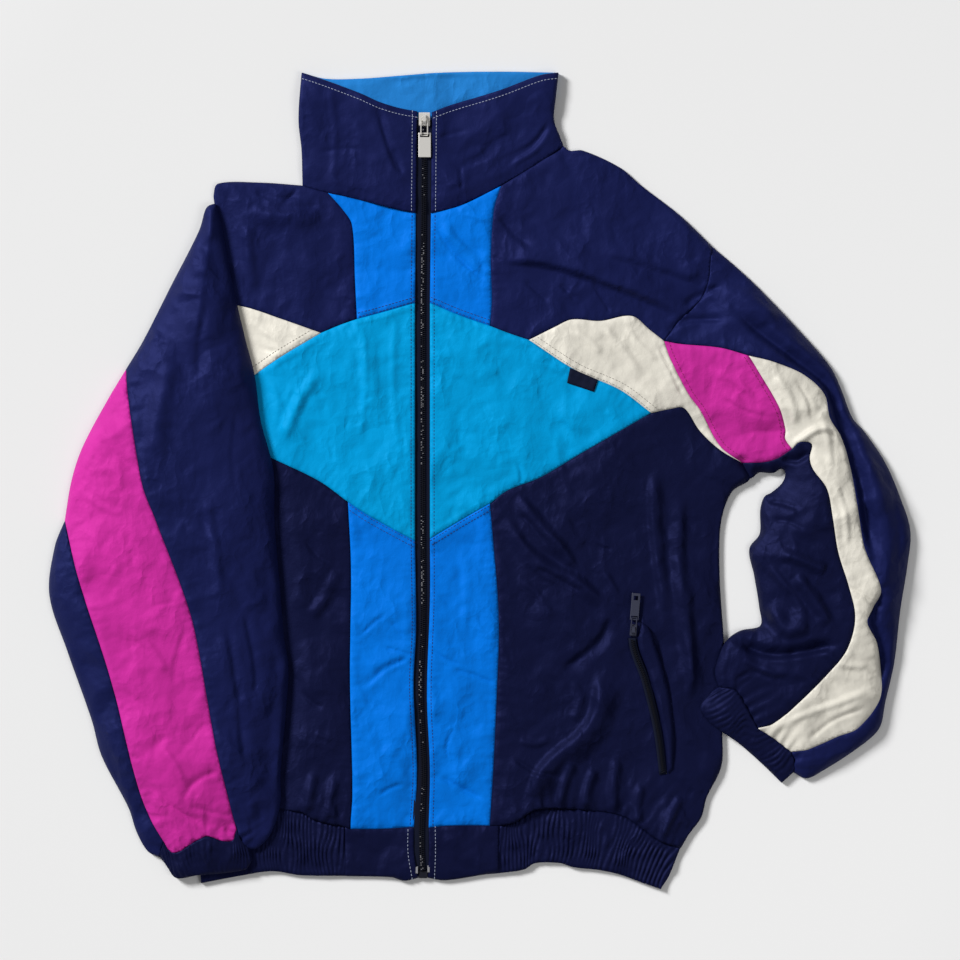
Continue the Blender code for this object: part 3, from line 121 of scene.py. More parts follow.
# Each row of points down an edge: share of the drop, reach outward at a free edge and at a seam.
SKIRT_ROWS = ((0.3, 0.6, -0.02), (0.68, 0.6, -0.05), (1.0, -0.3, -0.15))
ALLOWANCE = 0.006  # what a cut piece has beyond its seams, in metres

# Every stretch of seam or edge, from one junction to the next.
SEAMS = {
    # collar
    "collar_edge_left": [(-121, 807), (-103, 801), (-63, 786), (-43, 777), (-23, 771), (-6, 768)],
    "collar_edge_right": [(9, 767), (27, 774), (77, 789), (117, 804), (135, 807)],
    "collar_side_left": [(-120, 694), (-121, 730), (-124, 760), (-121, 807)],
    "collar_side_right": [(140, 734), (137, 742), (130.5, 760), (132, 780), (135, 807)],
    "collar_top": [(-121, 807), (-98, 801), (-63, 801), (-23, 804), (17, 807), (77, 808), (135, 807)],
    "neck_outer_left": [(-120, 694), (-107, 690), (-95, 687)],
    "neck_inner_left": [(-95, 687), (-63, 680), (-23, 670), (-7, 667)],
    "neck_inner_right": [(8, 667), (37, 674), (78, 694)],
    "neck_outer_right": [(78, 694), (117, 718), (140, 734)],
    "neck_back": [(140, 734), (60, 715), (0, 706), (-60, 702), (-120, 694)],
    "lining_lower": [(132, 783), (77, 765), (9, 742), (-43, 752), (-100, 778), (-119, 790)],
    # edges of the two fronts along the zip
    "zip_collar_left": [(-6, 768), (-7, 667)],
    "zip_collar_right": [(9, 767), (8, 667)],
    "zip_chest_left": [(-7, 667), (-8, 577)],
    "zip_chest_right": [(8, 667), (7, 577)],
    "zip_diamond_left": [(-8, 577), (-8, 339)],
    "zip_diamond_right": [(7, 577), (7, 341)],
    "zip_waist_left": [(-8, 339), (-7, 250), (-9.5, 195), (-6, 110), (-9, 53)],
    "zip_waist_right": [(7, 341), (7, 280), (4, 185), (7, 110), (5.7, 52.5)],
    "zip_hem_left": [(-9, 53), (-9, 28), (-5, 2.5)],
    "zip_hem_right": [(5.7, 52.5), (6, 28), (5, 2.5)],
    # chest
    "strip_left": [(-95, 687), (-80, 670), (-71, 655), (-68, 600), (-66, 561)],
    "strip_right": [(78, 694), (71, 670), (68, 620), (69, 580), (67, 554)],
    "peak_left": [(-8, 577), (-43, 567), (-66, 561)],
    "peak_right": [(7, 577), (37, 564.5), (67, 554)],
    "brow_left": [(-66, 561), (-83, 555), (-102, 547)],
    "brow_right": [(67, 554), (88, 546), (106, 540)],
    "band_top_left": [(-102, 547), (-143, 561.5), (-178, 573), (-221, 580)],
    "band_top_right": [(106, 540), (132, 553), (149, 560.5), (177, 559), (209, 564), (227, 550),
        (241, 539)],
    "band_low_left": [(-102, 547), (-143, 522.5), (-169, 505), (-229, 466)],
    "band_low_right": [(106, 540), (152, 510), (197, 490), (228, 467)],
    "band_end_left": [(-229, 466), (-238, 468), (-247, 470)],
    "band_end_right": [(228, 467), (247, 471), (261, 472), (277, 449), (297, 430), (319, 417)],
    "keel_left": [(-8, 339), (-52, 363), (-75, 378)],
    "keel_right": [(7, 341), (40, 361), (67, 376.5)],
    "point_left": [(-75, 378), (-104, 399), (-153.5, 423), (-190, 442), (-229, 466)],
    "point_right": [(67, 376.5), (84.5, 389.5), (117, 402.5), (157, 426), (228, 467)],
    # waist
    "waist_left": [(-75, 378), (-72, 312), (-73, 200), (-70.5, 90), (-72.7, 51)],
    "waist_right": [(67, 376.5), (75, 280), (75.8, 240), (74, 190), (70.8, 120), (67, 54.4)],
    "hem_strip_left": [(-72.7, 51), (-43, 51), (-9, 53)],
    "hem_strip_right": [(5.7, 52.5), (27, 54.5), (67, 54.4)],
    "hem_turn_left": [(-78, 53), (-72.7, 51)],
    "hem_turn_right": [(67, 54.4), (76, 54)],
    "hem_seam_left": [(-228, 66), (-180, 71), (-123, 68), (-109, 60), (-78, 53)],
    "hem_seam_right": [(76, 54), (92, 58), (115, 71), (178, 68), (205, 61), (237, 39), (257.5, 32)],
    "facing_side_left": [(-78, 53), (-78, 4.3)],
    "facing_side_right": [(76, 54), (76, 7)],
    "hem_end_left": [(-228, 66), (-226, 30), (-222, -3)],
    "hem_edge_left": [(-222, -3), (-183, 4.4), (-151, 9), (-123, 5), (-78, 4.3)],
    "facing_edge_left": [(-78, 4.3), (-31, 3), (-19, -0.5), (-5, 2.5)],
    "facing_edge_right": [(5, 2.5), (22, 0), (63, 6), (76, 7)],
    "hem_edge_right": [(76, 7), (101, 10.6), (112, 17), (137.7, 17), (150, 13), (177, 10), (197, 5.6),
        (218, -2), (238, -9)],
    "hem_end_right": [(238, -9), (246, 3.5), (257.5, 32)],
    # outer edges of the body
    "shoulder_top_left": [(-208, 676), (-209, 685), (-205, 696), (-163, 697), (-120, 694)],
    "shoulder_top_right": [(140, 734), (146, 729), (160, 729), (197, 712), (217, 695), (257, 664),
        (289, 633)],
    "side_top_left": [(-208, 676), (-210, 650), (-216, 610), (-221, 580)],
    "side_band_left": [(-221, 580), (-232, 530), (-247, 470)],
    "side_low_left": [(-247, 470), (-260, 380), (-262, 280), (-260, 160), (-252, 100), (-240, 76),
        (-228, 66)],
    "side_right": [(319, 417), (327, 402), (309, 389), (299, 365), (296, 338), (296.6, 295), (300, 245),
        (302, 200), (299, 150), (298, 114), (283, 82), (278, 63), (265, 45), (257.5, 32)],
    "armhole_top": [(289, 633), (282, 588), (257, 560), (241, 539)],
    "armhole_low": [(241, 539), (247, 522), (266, 485), (277, 470), (297, 434), (319, 417)],
    # right sleeve
    "block_top": [(241, 539), (257, 536), (297, 532), (325, 524)],
    "block_side": [(325, 524), (332.5, 512), (355, 473), (362, 450), (361.7, 441), (368.5, 431)],
    "block_low": [(319, 417), (342, 418), (355, 422), (368.5, 431)],
    "pale_outer": [(325, 524), (352, 517), (381.5, 504), (401, 485), (406, 462), (417, 444), (426, 415),
        (435, 363), (441, 331), (457, 290), (449, 272), (443, 258), (453, 238), (458, 205), (456, 180),
        (434, 152), (415, 144), (385, 131), (368, 128)],
    "pale_inner": [(368.5, 431), (376, 438), (388, 436), (386, 422), (389, 411), (403, 391), (409, 360),
        (414.6, 327), (425, 293), (431, 263), (424, 233), (408, 211), (367, 170), (348.5, 156),
        (334, 152)],
    "cuff_seam_inner": [(296, 193), (312, 190), (321, 177), (334, 152)],
    "cuff_seam_pale": [(334, 152), (350, 142), (368, 128)],
    "cuff_seam_outer": [(368, 128), (371, 118), (371, 108)],
    "arm_outer": [(289, 633), (317, 609), (337, 590), (377, 548), (407, 513), (418, 490), (429, 462),
        (441, 448), (462, 417), (477, 382), (487, 349), (484, 314), (477, 270), (471, 218), (462, 178),
        (456, 152), (437, 134), (397, 108), (383, 102), (371, 108)],
    "arm_inner": [(319, 417), (327, 402), (336, 408), (350, 407.5), (359, 412), (363, 407), (360, 397),
        (349, 387), (342, 383), (338, 370), (337.4, 346), (327, 331), (332, 304), (337, 273), (338, 254),
        (317, 248.5), (303, 238), (294, 216), (292.4, 206), (296, 193)],
    "cuff_right_start": [(296, 193), (288.7, 188)],
    "cuff_right_end": [(371, 108), (359, 97.3)],
    "cuff_right_edge": [(288.7, 188), (277.7, 173), (286, 159), (299, 148.5), (316, 137), (342, 114),
        (359, 97.3)],
    # left sleeve
    "sleeve_inner": [(-208, 676), (-202, 655), (-190, 592), (-178, 540), (-169, 505), (-163, 460),
        (-150, 409), (-149, 360), (-144, 299), (-139, 240), (-135, 214), (-137.4, 170), (-143, 105),
        (-143, 78), (-152, 48), (-165, 33), (-173, 31)],
    "sleeve_outer_top": [(-208, 676), (-216, 672), (-223, 650), (-252, 593), (-280, 538), (-297, 510)],
    "sleeve_outer_stripe": [(-297, 510), (-315, 480), (-340, 433), (-351, 400), (-358, 359)],
    "sleeve_outer_low": [(-358, 359), (-368, 333), (-373.3, 285), (-355, 228), (-331, 160), (-321, 124),
        (-294, 72), (-286, 48), (-275, 29), (-263, 23)],
    "stripe_inner": [(-297, 510), (-294.5, 484), (-284, 419), (-278.5, 392), (-266, 360), (-236, 281),
        (-225, 240), (-206, 134), (-186, 51)],
    "stripe_outer": [(-358, 359), (-343, 300), (-312, 204), (-285, 96), (-274, 65), (-259, 38)],
    "cuff_seam_back": [(-263, 23), (-262, 30), (-259, 38)],
    "cuff_seam_stripe": [(-259, 38), (-253, 29), (-245, 28), (-229, 38), (-215, 44.4), (-201, 40),
        (-190, 40), (-186, 51)],
    "cuff_seam_front": [(-186, 51), (-180, 38), (-173, 31)],
    "cuff_left_start": [(-263, 23), (-257, 15)],
    "cuff_left_edge": [(-257, 15), (-247, 2.4), (-227, 5), (-178, 11), (-171, 20)],
    "cuff_left_end": [(-173, 31), (-171, 20)],
}

# The folds of each layer of cloth: height, reach to the left and to the right as seen walking along the
# fold's path, and that path in plan. A negative height is a hollow.
Fold = collections.namedtuple("Fold", "height left right path")
FOLDS = {
    "body": [
        # right shoulder
        (6.5, 30, 9, [(84, 622), (122, 619), (157, 609), (197, 595), (237, 579), (254, 571)]),
        (3.5, 16, 10, [(177, 630), (217, 621), (257, 609), (280, 604)]),
        (-2.2, 11, 11, [(77, 664), (90, 648), (107, 632)]),
        # right front
        (4.2, 9, 14, [(94, 385), (122, 350), (141, 329), (152, 308)]),
        (4.5, 9, 15, [(82, 363), (97, 338), (117, 319), (154, 299), (179, 277)]),
        (7.0, 24, 10, [(179, 200), (173, 166), (156, 142), (122, 112), (108, 82)]),
        (-2.6, 13, 13, [(188, 262), (175, 238), (141, 210)]),
        (4.2, 13, 8, [(230, 407), (232, 349), (239, 290), (242, 268)]),
        (4.0, 10, 13, [(257, 381), (256, 320), (262, 260), (272, 190)]),
        (3.6, 8, 8, [(137, 74), (141, 96), (150, 118)]),
        (3.4, 8, 8, [(163, 72), (165, 92), (172, 112)]),
        (3.6, 8, 8, [(190, 67), (190, 90), (194, 120)]),
        (3.4, 8, 8, [(214, 56), (214, 76), (219, 96)]),
        (3.2, 8, 8, [(240, 42), (246, 62), (258, 84)]),
        # left side
        (4.0, 8, 18, [(-170, 676), (-160, 666), (-119, 665), (-103, 668)]),
        (2.6, 12, 7, [(-176, 655), (-176, 620), (-172, 588)]),
        (2.8, 10, 10, [(-105, 505), (-120, 486), (-139, 442)]),
        (1.8, 13, 13, [(-55, 530), (-53, 470)]),
        (2.6, 10, 10, [(-85, 310), (-94, 290), (-112, 262)]),
        (3.0, 8, 8, [(-92, 60), (-92, 80), (-88, 104)]),
        (3.0, 8, 8, [(-115, 68), (-113, 88), (-108, 108)]),
        # strips beside the zip
        (-1.6, 7, 7, [(-57, 194), (-38, 211), (-14, 222)]),
        (-1.6, 7, 7, [(17, 103), (42, 89), (59, 81)]),
        (2.0, 8, 8, [(20, 658), (34, 635), (57, 612)]),
        # finer creases: shoulder and chest
        (-1.3, 5, 5, [(102, 598), (112, 590), (125, 578)]),
        (-1.2, 5, 5, [(137, 595), (145, 588), (152, 580)]),
        (-1.4, 5, 5, [(169, 597), (177, 585), (187, 568)]),
        (1.2, 5, 5, [(32, 640), (52, 625), (68, 618)]),
        (1.1, 4, 4, [(42, 666), (69, 658)]),
        (-1.2, 4, 4, [(14, 652), (26, 632), (46, 612), (64, 598)]),
        (-1.4, 5, 5, [(-125, 693), (-132, 685), (-139, 677)]),
        (-1.8, 10, 8, [(-168, 688), (-150, 681), (-122, 684)]),
        (1.4, 6, 6, [(-157, 503), (-147, 484), (-148, 460), (-154, 436)]),
        (1.0, 6, 6, [(-60, 548), (-58, 500), (-62, 440)]),
        (0.9, 6, 6, [(-28, 560), (-30, 500), (-24, 430)]),
        (1.3, 6, 6, [(183, 470), (192, 462), (202, 448)]),
        (-0.9, 5, 5, [(94, 417), (98, 408), (97, 396)]),
        (1.6, 7, 6, [(180, 553), (196, 534), (217, 507)]),
        (1.4, 6, 6, [(152, 549), (166, 539), (178, 526)]),
        (-1.5, 5, 5, [(236, 535), (246, 512), (260, 484)]),
        (1.2, 5, 6, [(205, 552), (216, 536), (234, 520)]),
        (1.2, 5, 5, [(-172, 558), (-158, 548), (-145, 540)]),
        (-1.0, 5, 5, [(-170, 536), (-158, 530), (-146, 528)]),
        # strips beside the zip
        (-1.1, 4, 4, [(-61, 245), (-48, 258), (-38, 265)]),
        (-1.0, 4, 4, [(-31, 258), (-20, 243)]),
        (-1.0, 4, 4, [(-38, 232), (-11, 225)]),
        (-1.1, 5, 5, [(-43, 85), (-32, 92), (-21, 95)]),
        (-1.1, 4, 4, [(30, 152), (24, 138), (24, 125), (31, 123)]),
        (-1.1, 5, 5, [(7, 230), (24, 220), (37, 215)]),
        (-1.1, 5, 5, [(32, 210), (52, 204), (72, 195)]),
        (0.9, 8, 8, [(40, 330), (44, 290), (40, 250)]),
        # fronts
        (1.7, 6, 6, [(182, 308), (189, 295), (197, 285), (207, 275)]),
        (-1.3, 5, 5, [(172, 335), (180, 331), (188, 330)]),
        (1.6, 7, 7, [(265, 300), (268, 236), (267, 172)]),
        (-1.6, 6, 6, [(97, 366), (110, 352), (124, 334)]),
        (-1.6, 6, 6, [(114, 312), (132, 302), (158, 288)]),
        (1.3, 6, 6, [(98, 300), (116, 284), (130, 262)]),
        (1.4, 7, 7, [(150, 200), (158, 180), (150, 158)]),
        (1.6, 6, 6, [(96, 140), (112, 136), (128, 142)]),
        (-1.6, 6, 6, [(92, 120), (112, 108), (134, 104)]),
        (1.2, 5, 5, [(-108, 147), (-93, 141)]),
        (-1.3, 6, 6, [(-118, 340), (-104, 322), (-94, 318)]),
        (-1.3, 6, 6, [(-124, 190), (-110, 176), (-100, 172)]),
    ],
    "armhole": [
        (-3.2, 8, 8, [(245, 547), (259, 558), (301, 561)]),
        (-3.0, 8, 8, [(262, 575), (274, 582), (296, 594)]),
    ],
    "collar": [
        (-3.0, 9, 9, [(126, 757), (112, 737), (84, 720), (72, 714)]),
        (-2.6, 8, 8, [(37, 712), (65, 725), (70, 734), (97, 745)]),
        (-2.2, 8, 8, [(-45, 770), (-35, 735), (-23, 705)]),
        (-1.5, 5, 5, [(37, 712), (38, 700), (38, 690)]),
        (-1.1, 5, 5, [(17, 742), (30, 746), (43, 748)]),
        (-1.4, 6, 6, [(-30, 732), (-25, 718), (-21, 705)]),
        (-1.1, 6, 6, [(-103, 727), (-84, 730), (-63, 730)]),
        (1.6, 5, 6, [(128, 752), (112, 730), (88, 716)]),
        (1.0, 6, 6, [(-92, 790), (-88, 740), (-90, 700)]),
    ],
    "left": [
        (-5.0, 10, 10, [(-195, 255), (-186, 200), (-180, 140), (-176, 118)]),
        (-4.2, 9, 9, [(-177, 265), (-168, 220), (-166, 185)]),
        (-4.0, 10, 10, [(-269, 96), (-243, 69), (-219, 56)]),
        (-3.6, 9, 9, [(-240, 80), (-227, 99), (-205, 110)]),
        (-3.0, 9, 9, [(-236, 252), (-246, 220), (-248, 196)]),
        (4.0, 16, 16, [(-252, 520), (-262, 470), (-268, 425)]),
        (-3.0, 10, 10, [(-322, 440), (-305, 424), (-284, 410)]),
        (-3.4, 12, 12, [(-214, 580), (-222, 540), (-224, 500)]),
        (-1.6, 4, 4, [(-269, 96), (-263, 87), (-255, 76), (-243, 69), (-225, 60)]),
        (-2.0, 6, 6, [(-233, 74), (-218, 70), (-203, 67), (-193, 63)]),
        (-1.5, 4, 4, [(-201, 60), (-195, 52), (-188, 45)]),
        (-1.4, 4, 4, [(-198, 48), (-190, 58)]),
        (-1.6, 5, 5, [(-217, 158), (-226, 148), (-229, 140)]),
        (-1.5, 5, 5, [(-278, 365), (-272, 355), (-268, 345)]),
        (-1.6, 6, 6, [(-335, 452), (-326, 440), (-318, 428)]),
        (-1.4, 6, 6, [(-345, 420), (-336, 410), (-330, 400)]),
        (-1.3, 5, 5, [(-312, 400), (-305, 390), (-300, 380)]),
        (1.4, 6, 6, [(-338, 385), (-318, 372), (-300, 366)]),
        (-1.9, 5, 5, [(-178, 75), (-173, 60), (-170, 40)]),
        (-1.6, 5, 5, [(-166, 80), (-161, 60)]),
        (1.8, 8, 8, [(-216, 380), (-206, 330), (-202, 290)]),
        (-1.8, 8, 8, [(-186, 470), (-190, 420), (-184, 380)]),
        (1.6, 7, 7, [(-292, 250), (-270, 232), (-256, 208)]),
        (-1.5, 6, 6, [(-300, 190), (-282, 176), (-270, 150)]),
        (1.4, 5, 5, [(-256, 130), (-246, 116), (-238, 100)]),
    ],
    "right": [
        (-8.5, 13, 15, [(312, 570), (333, 550), (372, 520), (405, 492), (415, 460), (427, 425),
            (436, 400), (443, 360), (450, 320)]),
        (-6.0, 11, 11, [(459, 290), (449, 262), (456, 238), (459, 200)]),
        (-7.5, 12, 12, [(316, 236), (344, 226), (377, 228), (412, 236)]),
        (5.0, 14, 12, [(345, 274), (362, 251), (385, 256)]),
        (4.5, 9, 11, [(372, 305), (392, 279), (405, 256)]),
        (4.0, 9, 9, [(357, 327), (378, 320), (402, 309)]),
        (-6.0, 11, 9, [(358, 421), (374, 419), (386, 428)]),
        (3.6, 14, 14, [(440, 436), (458, 380), (464, 330), (460, 285)]),
        (1.8, 12, 12, [(300, 592), (330, 578), (356, 560)]),
        (3.0, 6, 6, [(368, 432), (375, 438), (385, 446), (393, 451), (400, 452), (409, 450), (417, 443),
            (422, 431), (426, 415)]),
        (2.4, 7, 7, [(344, 315), (357, 300), (372, 280), (382, 260)]),
        (-1.8, 6, 6, [(345, 378), (360, 376), (375, 370)]),
        (-1.6, 6, 6, [(350, 360), (366, 358), (380, 350)]),
        (-2.0, 5, 5, [(425, 293), (440, 284), (452, 270)]),
        (1.7, 6, 6, [(350, 150), (380, 165), (420, 180), (445, 190)]),
        (-1.7, 6, 6, [(385, 140), (410, 160), (440, 172)]),
        (1.7, 6, 6, [(398, 230), (420, 216), (446, 214)]),
        (1.8, 7, 6, [(352, 505), (366, 480), (372, 455)]),
        (-1.5, 6, 6, [(372, 500), (384, 480), (388, 460)]),
        (1.6, 6, 6, [(396, 470), (404, 440), (406, 410)]),
        (1.5, 5, 5, [(410, 400), (420, 370), (424, 335)]),
        (-1.4, 6, 6, [(300, 480), (322, 468), (346, 462)]),
        (1.3, 6, 6, [(290, 508), (310, 500), (330, 484)]),
        (-1.6, 6, 6, [(312, 200), (330, 208), (350, 200)]),
        (1.6, 7, 7, [(320, 222), (342, 210), (366, 206)]),
    ],
    "below": [
        (1.6, 14, 14, [(-150, 560), (-40, 600), (90, 590)]),
        (1.5, 12, 16, [(-180, 420), (-60, 380), (60, 400), (180, 380)]),
        (1.6, 12, 12, [(40, 300), (90, 220), (110, 120)]),
        (1.4, 12, 12, [(-160, 240), (-110, 180), (-100, 90)]),
        (1.5, 10, 12, [(200, 330), (220, 240), (210, 150)]),
        (1.6, 10, 10, [(390, 420), (410, 340), (400, 270)]),
        (1.5, 12, 10, [(-330, 380), (-320, 280), (-300, 190)]),
        (1.4, 12, 12, [(-60, 780), (20, 740), (90, 770)]),
    ],
}


# ---------------------------------------------------------------- plan geometry


def smooth_line(points, spacing):
    """An even polyline along a cubic curve through the points, its tangents weighted by their distances."""
    spots = np.array(points, float)
    gaps = np.linalg.norm(np.diff(spots, axis=0), axis=1)
    times = np.concatenate([[0.0], np.cumsum(gaps)])
    slopes = np.empty_like(spots)
    slopes[1:-1] = (spots[2:] - spots[:-2]) / (times[2:] - times[:-2])[:, None]
    slopes[0] = (spots[1] - spots[0]) / gaps[0]
    slopes[-1] = (spots[-1] - spots[-2]) / gaps[-1]
    fine = []
    for first in range(len(gaps)):
        for step in range(12):
            t = step / 12
            fine.append(
                (2 * t**3 - 3 * t**2 + 1) * spots[first]
                + (t**3 - 2 * t**2 + t) * gaps[first] * slopes[first]
                + (3 * t**2 - 2 * t**3) * spots[first + 1]
                + (t**3 - t**2) * gaps[first] * slopes[first + 1]
            )
    fine.append(spots[-1])
    fine = np.array(fine)
    lengths = np.concatenate([[0.0], np.cumsum(np.linalg.norm(np.diff(fine, axis=0), axis=1))])
    pieces = max(1, round(lengths[-1] / spacing))
    wanted = np.linspace(0.0, lengths[-1], pieces + 1)
    return np.stack([np.interp(wanted, lengths, fine[:, axis]) for axis in (0, 1)], axis=1)


LINES = {name: smooth_line(points, EDGE_GRID) for name, points in SEAMS.items()}
COARSE = {name: smooth_line(points, MEASURE_GRID) for name, points in SEAMS.items()}
FOLD_LINES = {
    layer: [(Fold(*row), smooth_line(row[-1], FOLD_GRID)) for row in rows] for layer, rows in FOLDS.items()
}


def chain(names, lines=LINES):
    """Seams joined end to end, each turned round where that is what joins it to the one before."""
    found = [lines[name] for name in names.split()]
    joined = [found[0]]
    if len(found) > 1:
        follows = [np.linalg.norm(found[0][-1] - end) for end in (found[1][0], found[1][-1])]
        leads = [np.linalg.norm(found[0][0] - end) for end in (found[1][0], found[1][-1])]
        if min(leads) < min(follows):
            joined = [found[0][::-1]]
    for line in found[1:]:
        end = joined[-1][-1]
        if np.linalg.norm(line[-1] - end) < np.linalg.norm(line[0] - end):
            line = line[::-1]
        joined.append(line[1:] if np.linalg.norm(line[0] - end) < 0.01 else line)
    return np.concatenate(joined)


def anticlockwise(points):
    x, y = points.T
    return points if np.dot(x, np.roll(y, -1)) > np.dot(y, np.roll(x, -1)) else points[::-1]


def outline(names, lines=LINES):
    """A closed outline from seams, anticlockwise, its last point dropped where it repeats the first."""
    points = chain(names, lines)
    if np.linalg.norm(points[0] - points[-1]) < 0.01:
        points = points[:-1]
    return anticlockwise(points)


def closed(polygon):
    return np.concatenate([polygon, polygon[:1]])


def beside(line, distance):
    """An open line moved to its left by the distance, or to its right by a negative one."""
    along = np.gradient(line, axis=0)
    unit = along / np.linalg.norm(along, axis=1)[:, None]
    return line + distance * np.stack([-unit[:, 1], unit[:, 0]], axis=1)


def outward(border):
    """The unit normals of an anticlockwise outline, pointing out."""
    along = np.roll(border, -1, axis=0) - np.roll(border, 1, axis=0)
    unit = along / np.maximum(np.linalg.norm(along, axis=1), 1e-6)[:, None]
    return np.stack([unit[:, 1], -unit[:, 0]], axis=1)


def nearest(points, line):
    """For each point its distance from a line, how far along it that is, and which side it lies on."""
    starts = line[:-1]
    spans = np.diff(line, axis=0)
    squares = np.maximum((spans * spans).sum(axis=1), 1e-9)
    apart_all, along_all, side_all = [], [], []
    for first in range(0, len(points), 4000):
        some = points[first:first + 4000]
        off_x = some[:, None, 0] - starts[None, :, 0]
        off_y = some[:, None, 1] - starts[None, :, 1]
        share = np.clip((off_x * spans[:, 0] + off_y * spans[:, 1]) / squares, 0.0, 1.0)
        squared = (off_x - share * spans[:, 0]) ** 2 + (off_y - share * spans[:, 1]) ** 2
        best = squared.argmin(axis=1)
        rows = np.arange(len(some))
        apart_all.append(np.sqrt(squared[rows, best]))
        along_all.append((best + share[rows, best]) / len(spans))
        cross = spans[best, 0] * off_y[rows, best] - spans[best, 1] * off_x[rows, best]
        side_all.append(np.where(cross >= 0, 1.0, -1.0))
    return np.concatenate(apart_all), np.concatenate(along_all), np.concatenate(side_all)


def distance_to(points, lines):
    return np.min([nearest(points, line)[0] for line in lines], axis=0)


def inside(points, polygon):
    """Which points lie in a closed polygon."""
    within = np.zeros(len(points), bool)
    ends = np.roll(polygon, -1, axis=0)
    for (x1, y1), (x2, y2) in zip(polygon, ends):
        if y1 == y2:
            continue
        crossed = (points[:, 1] > min(y1, y2)) & (points[:, 1] <= max(y1, y2))
        reach = x1 + (points[:, 1] - y1) * (x2 - x1) / (y2 - y1)
        within ^= crossed & (points[:, 0] < reach)
    return within


def outside_by(points, polygon):
    """How far outside a polygon each point lies, and 0 inside it."""
    return np.where(inside(points, polygon), 0.0, nearest(points, closed(polygon))[0])


def ease(share):
    """From 0 to 1, flat at both ends."""
    share = np.clip(share, 0.0, 1.0)
    return share * share * (3 - 2 * share)


def swell(share):
    """The rounded rise of soft cloth from its edge to its crown."""
    share = np.clip(share, 0.0, 1.0)
    return (1 - (1 - share) ** 2) ** 0.65


def chance(cells, seed):
    """A number from 0 to 1 for each cell that looks random and is always the same."""
    turn = cells[:, 0] * 127.1 + cells[:, 1] * 311.7 + seed * 74.7
    return np.modf(np.abs(np.sin(turn) * 43758.5453))[0]


def noise(points, size, seed):
    """Smooth noise from -1 to 1, its features about as large as the size."""
    cells = points / size
    low = np.floor(cells)
    part = cells - low
    part = part * part * (3 - 2 * part)
    lower = chance(low, seed) * (1 - part[:, 0]) + chance(low + (1, 0), seed) * part[:, 0]
    upper = chance(low + (0, 1), seed) * (1 - part[:, 0]) + chance(low + (1, 1), seed) * part[:, 0]
    return 2 * (lower * (1 - part[:, 1]) + upper * part[:, 1]) - 1


def facets(points, size, seed):
    """Flat triangles between random heights from -1 to 1, which meet along straight creases."""
    x, y = points.T
    cells = np.column_stack([x + y / math.sqrt(3), y * 2 / math.sqrt(3)]) / size
    low = np.floor(cells)
    part = cells - low
    right = (part[:, 0] > part[:, 1]).astype(float)
    first = chance(low, seed)
    middle = chance(low + np.column_stack([right, 1 - right]), seed)
    last = chance(low + (1, 1), seed)
    return 2 * (first + (middle - first) * part.max(axis=1) + (last - middle) * part.min(axis=1)) - 1


def crumple(points, seed):
    """What thin nylon keeps of its handling: soft waves, and in places facets with creases between them."""
    total = WAVE_HEIGHT * noise(points * (1.0, 0.7), WAVE_SIZE, seed + 3)
    for size, turn, height in FACETS:
        drift = np.stack([noise(points, size, seed + size), noise(points, size, seed + 2 * size)], axis=1)
        bent = points + FACET_DRIFT * size * drift
        cos, sin = math.cos(turn), math.sin(turn)
        turned = np.column_stack([bent[:, 0] * cos - bent[:, 1] * sin, bent[:, 0] * sin + bent[:, 1] * cos])
        there = ease(0.6 + 0.9 * noise(points, 1.7 * size, seed + 3 * size))
        total += height * there * facets(turned * FACET_STRETCH, size, seed + 4 * size)
    return total


# ---------------------------------------------------------------- heights

LEFT_CUFF_SEAM = "cuff_seam_back cuff_seam_stripe cuff_seam_front"
RIGHT_CUFF_SEAM = "cuff_seam_inner cuff_seam_pale cuff_seam_outer"
LEFT_CUFF = LEFT_CUFF_SEAM + " cuff_left_end cuff_left_edge cuff_left_start"
RIGHT_CUFF = RIGHT_CUFF_SEAM + " cuff_right_end cuff_right_edge cuff_right_start"
LEFT_SLEEVE = outline(
    "sleeve_inner cuff_left_end cuff_left_edge cuff_left_start"
    " sleeve_outer_low sleeve_outer_stripe sleeve_outer_top",
    COARSE,
)
FOREARM_OVER_BODY = np.array(
    [(303, 238), (294, 216), (292.4, 206), (296, 193), (288.7, 188), (277.7, 173), (286, 159), (299, 148.5),
     (316, 137), (330, 160), (330, 230)], float
)
BODY_EDGES = [
    chain("shoulder_top_left collar_side_left collar_top collar_side_right shoulder_top_right", COARSE),
    chain("side_top_left side_band_left side_low_left hem_end_left hem_edge_left facing_edge_left", COARSE),
    chain("facing_edge_right hem_edge_right hem_end_right side_right", COARSE),
]
RIGHT_EDGES = [
    chain("shoulder_top_right arm_outer cuff_right_end cuff_right_edge cuff_right_start arm_inner", COARSE)
]
LEFT_EDGES = [closed(LEFT_SLEEVE)]
LEFT_STEP = chain("side_top_left side_band_left side_low_left hem_end_left", COARSE)
RIGHT_STEP = smooth_line(
    [(298, 275), (300.5, 245), (302, 200), (299, 150), (298, 114), (291, 97)], MEASURE_GRID
)
NECK = [
    chain("neck_outer_left neck_inner_left", COARSE), chain("neck_inner_right neck_outer_right", COARSE)
]
ARMHOLE = [chain("armhole_top armhole_low", COARSE)]
ZIP_LINE = np.array([(0.0, 768.0), (0.0, 340.0), (-2.5, 190.0), (0.5, 110.0), (0.0, 0.0)])
POCKET_PATH = smooth_line([(213, 290), (209.5, 238), (222, 200), (234, 151), (240.5, 102)], 4.0)
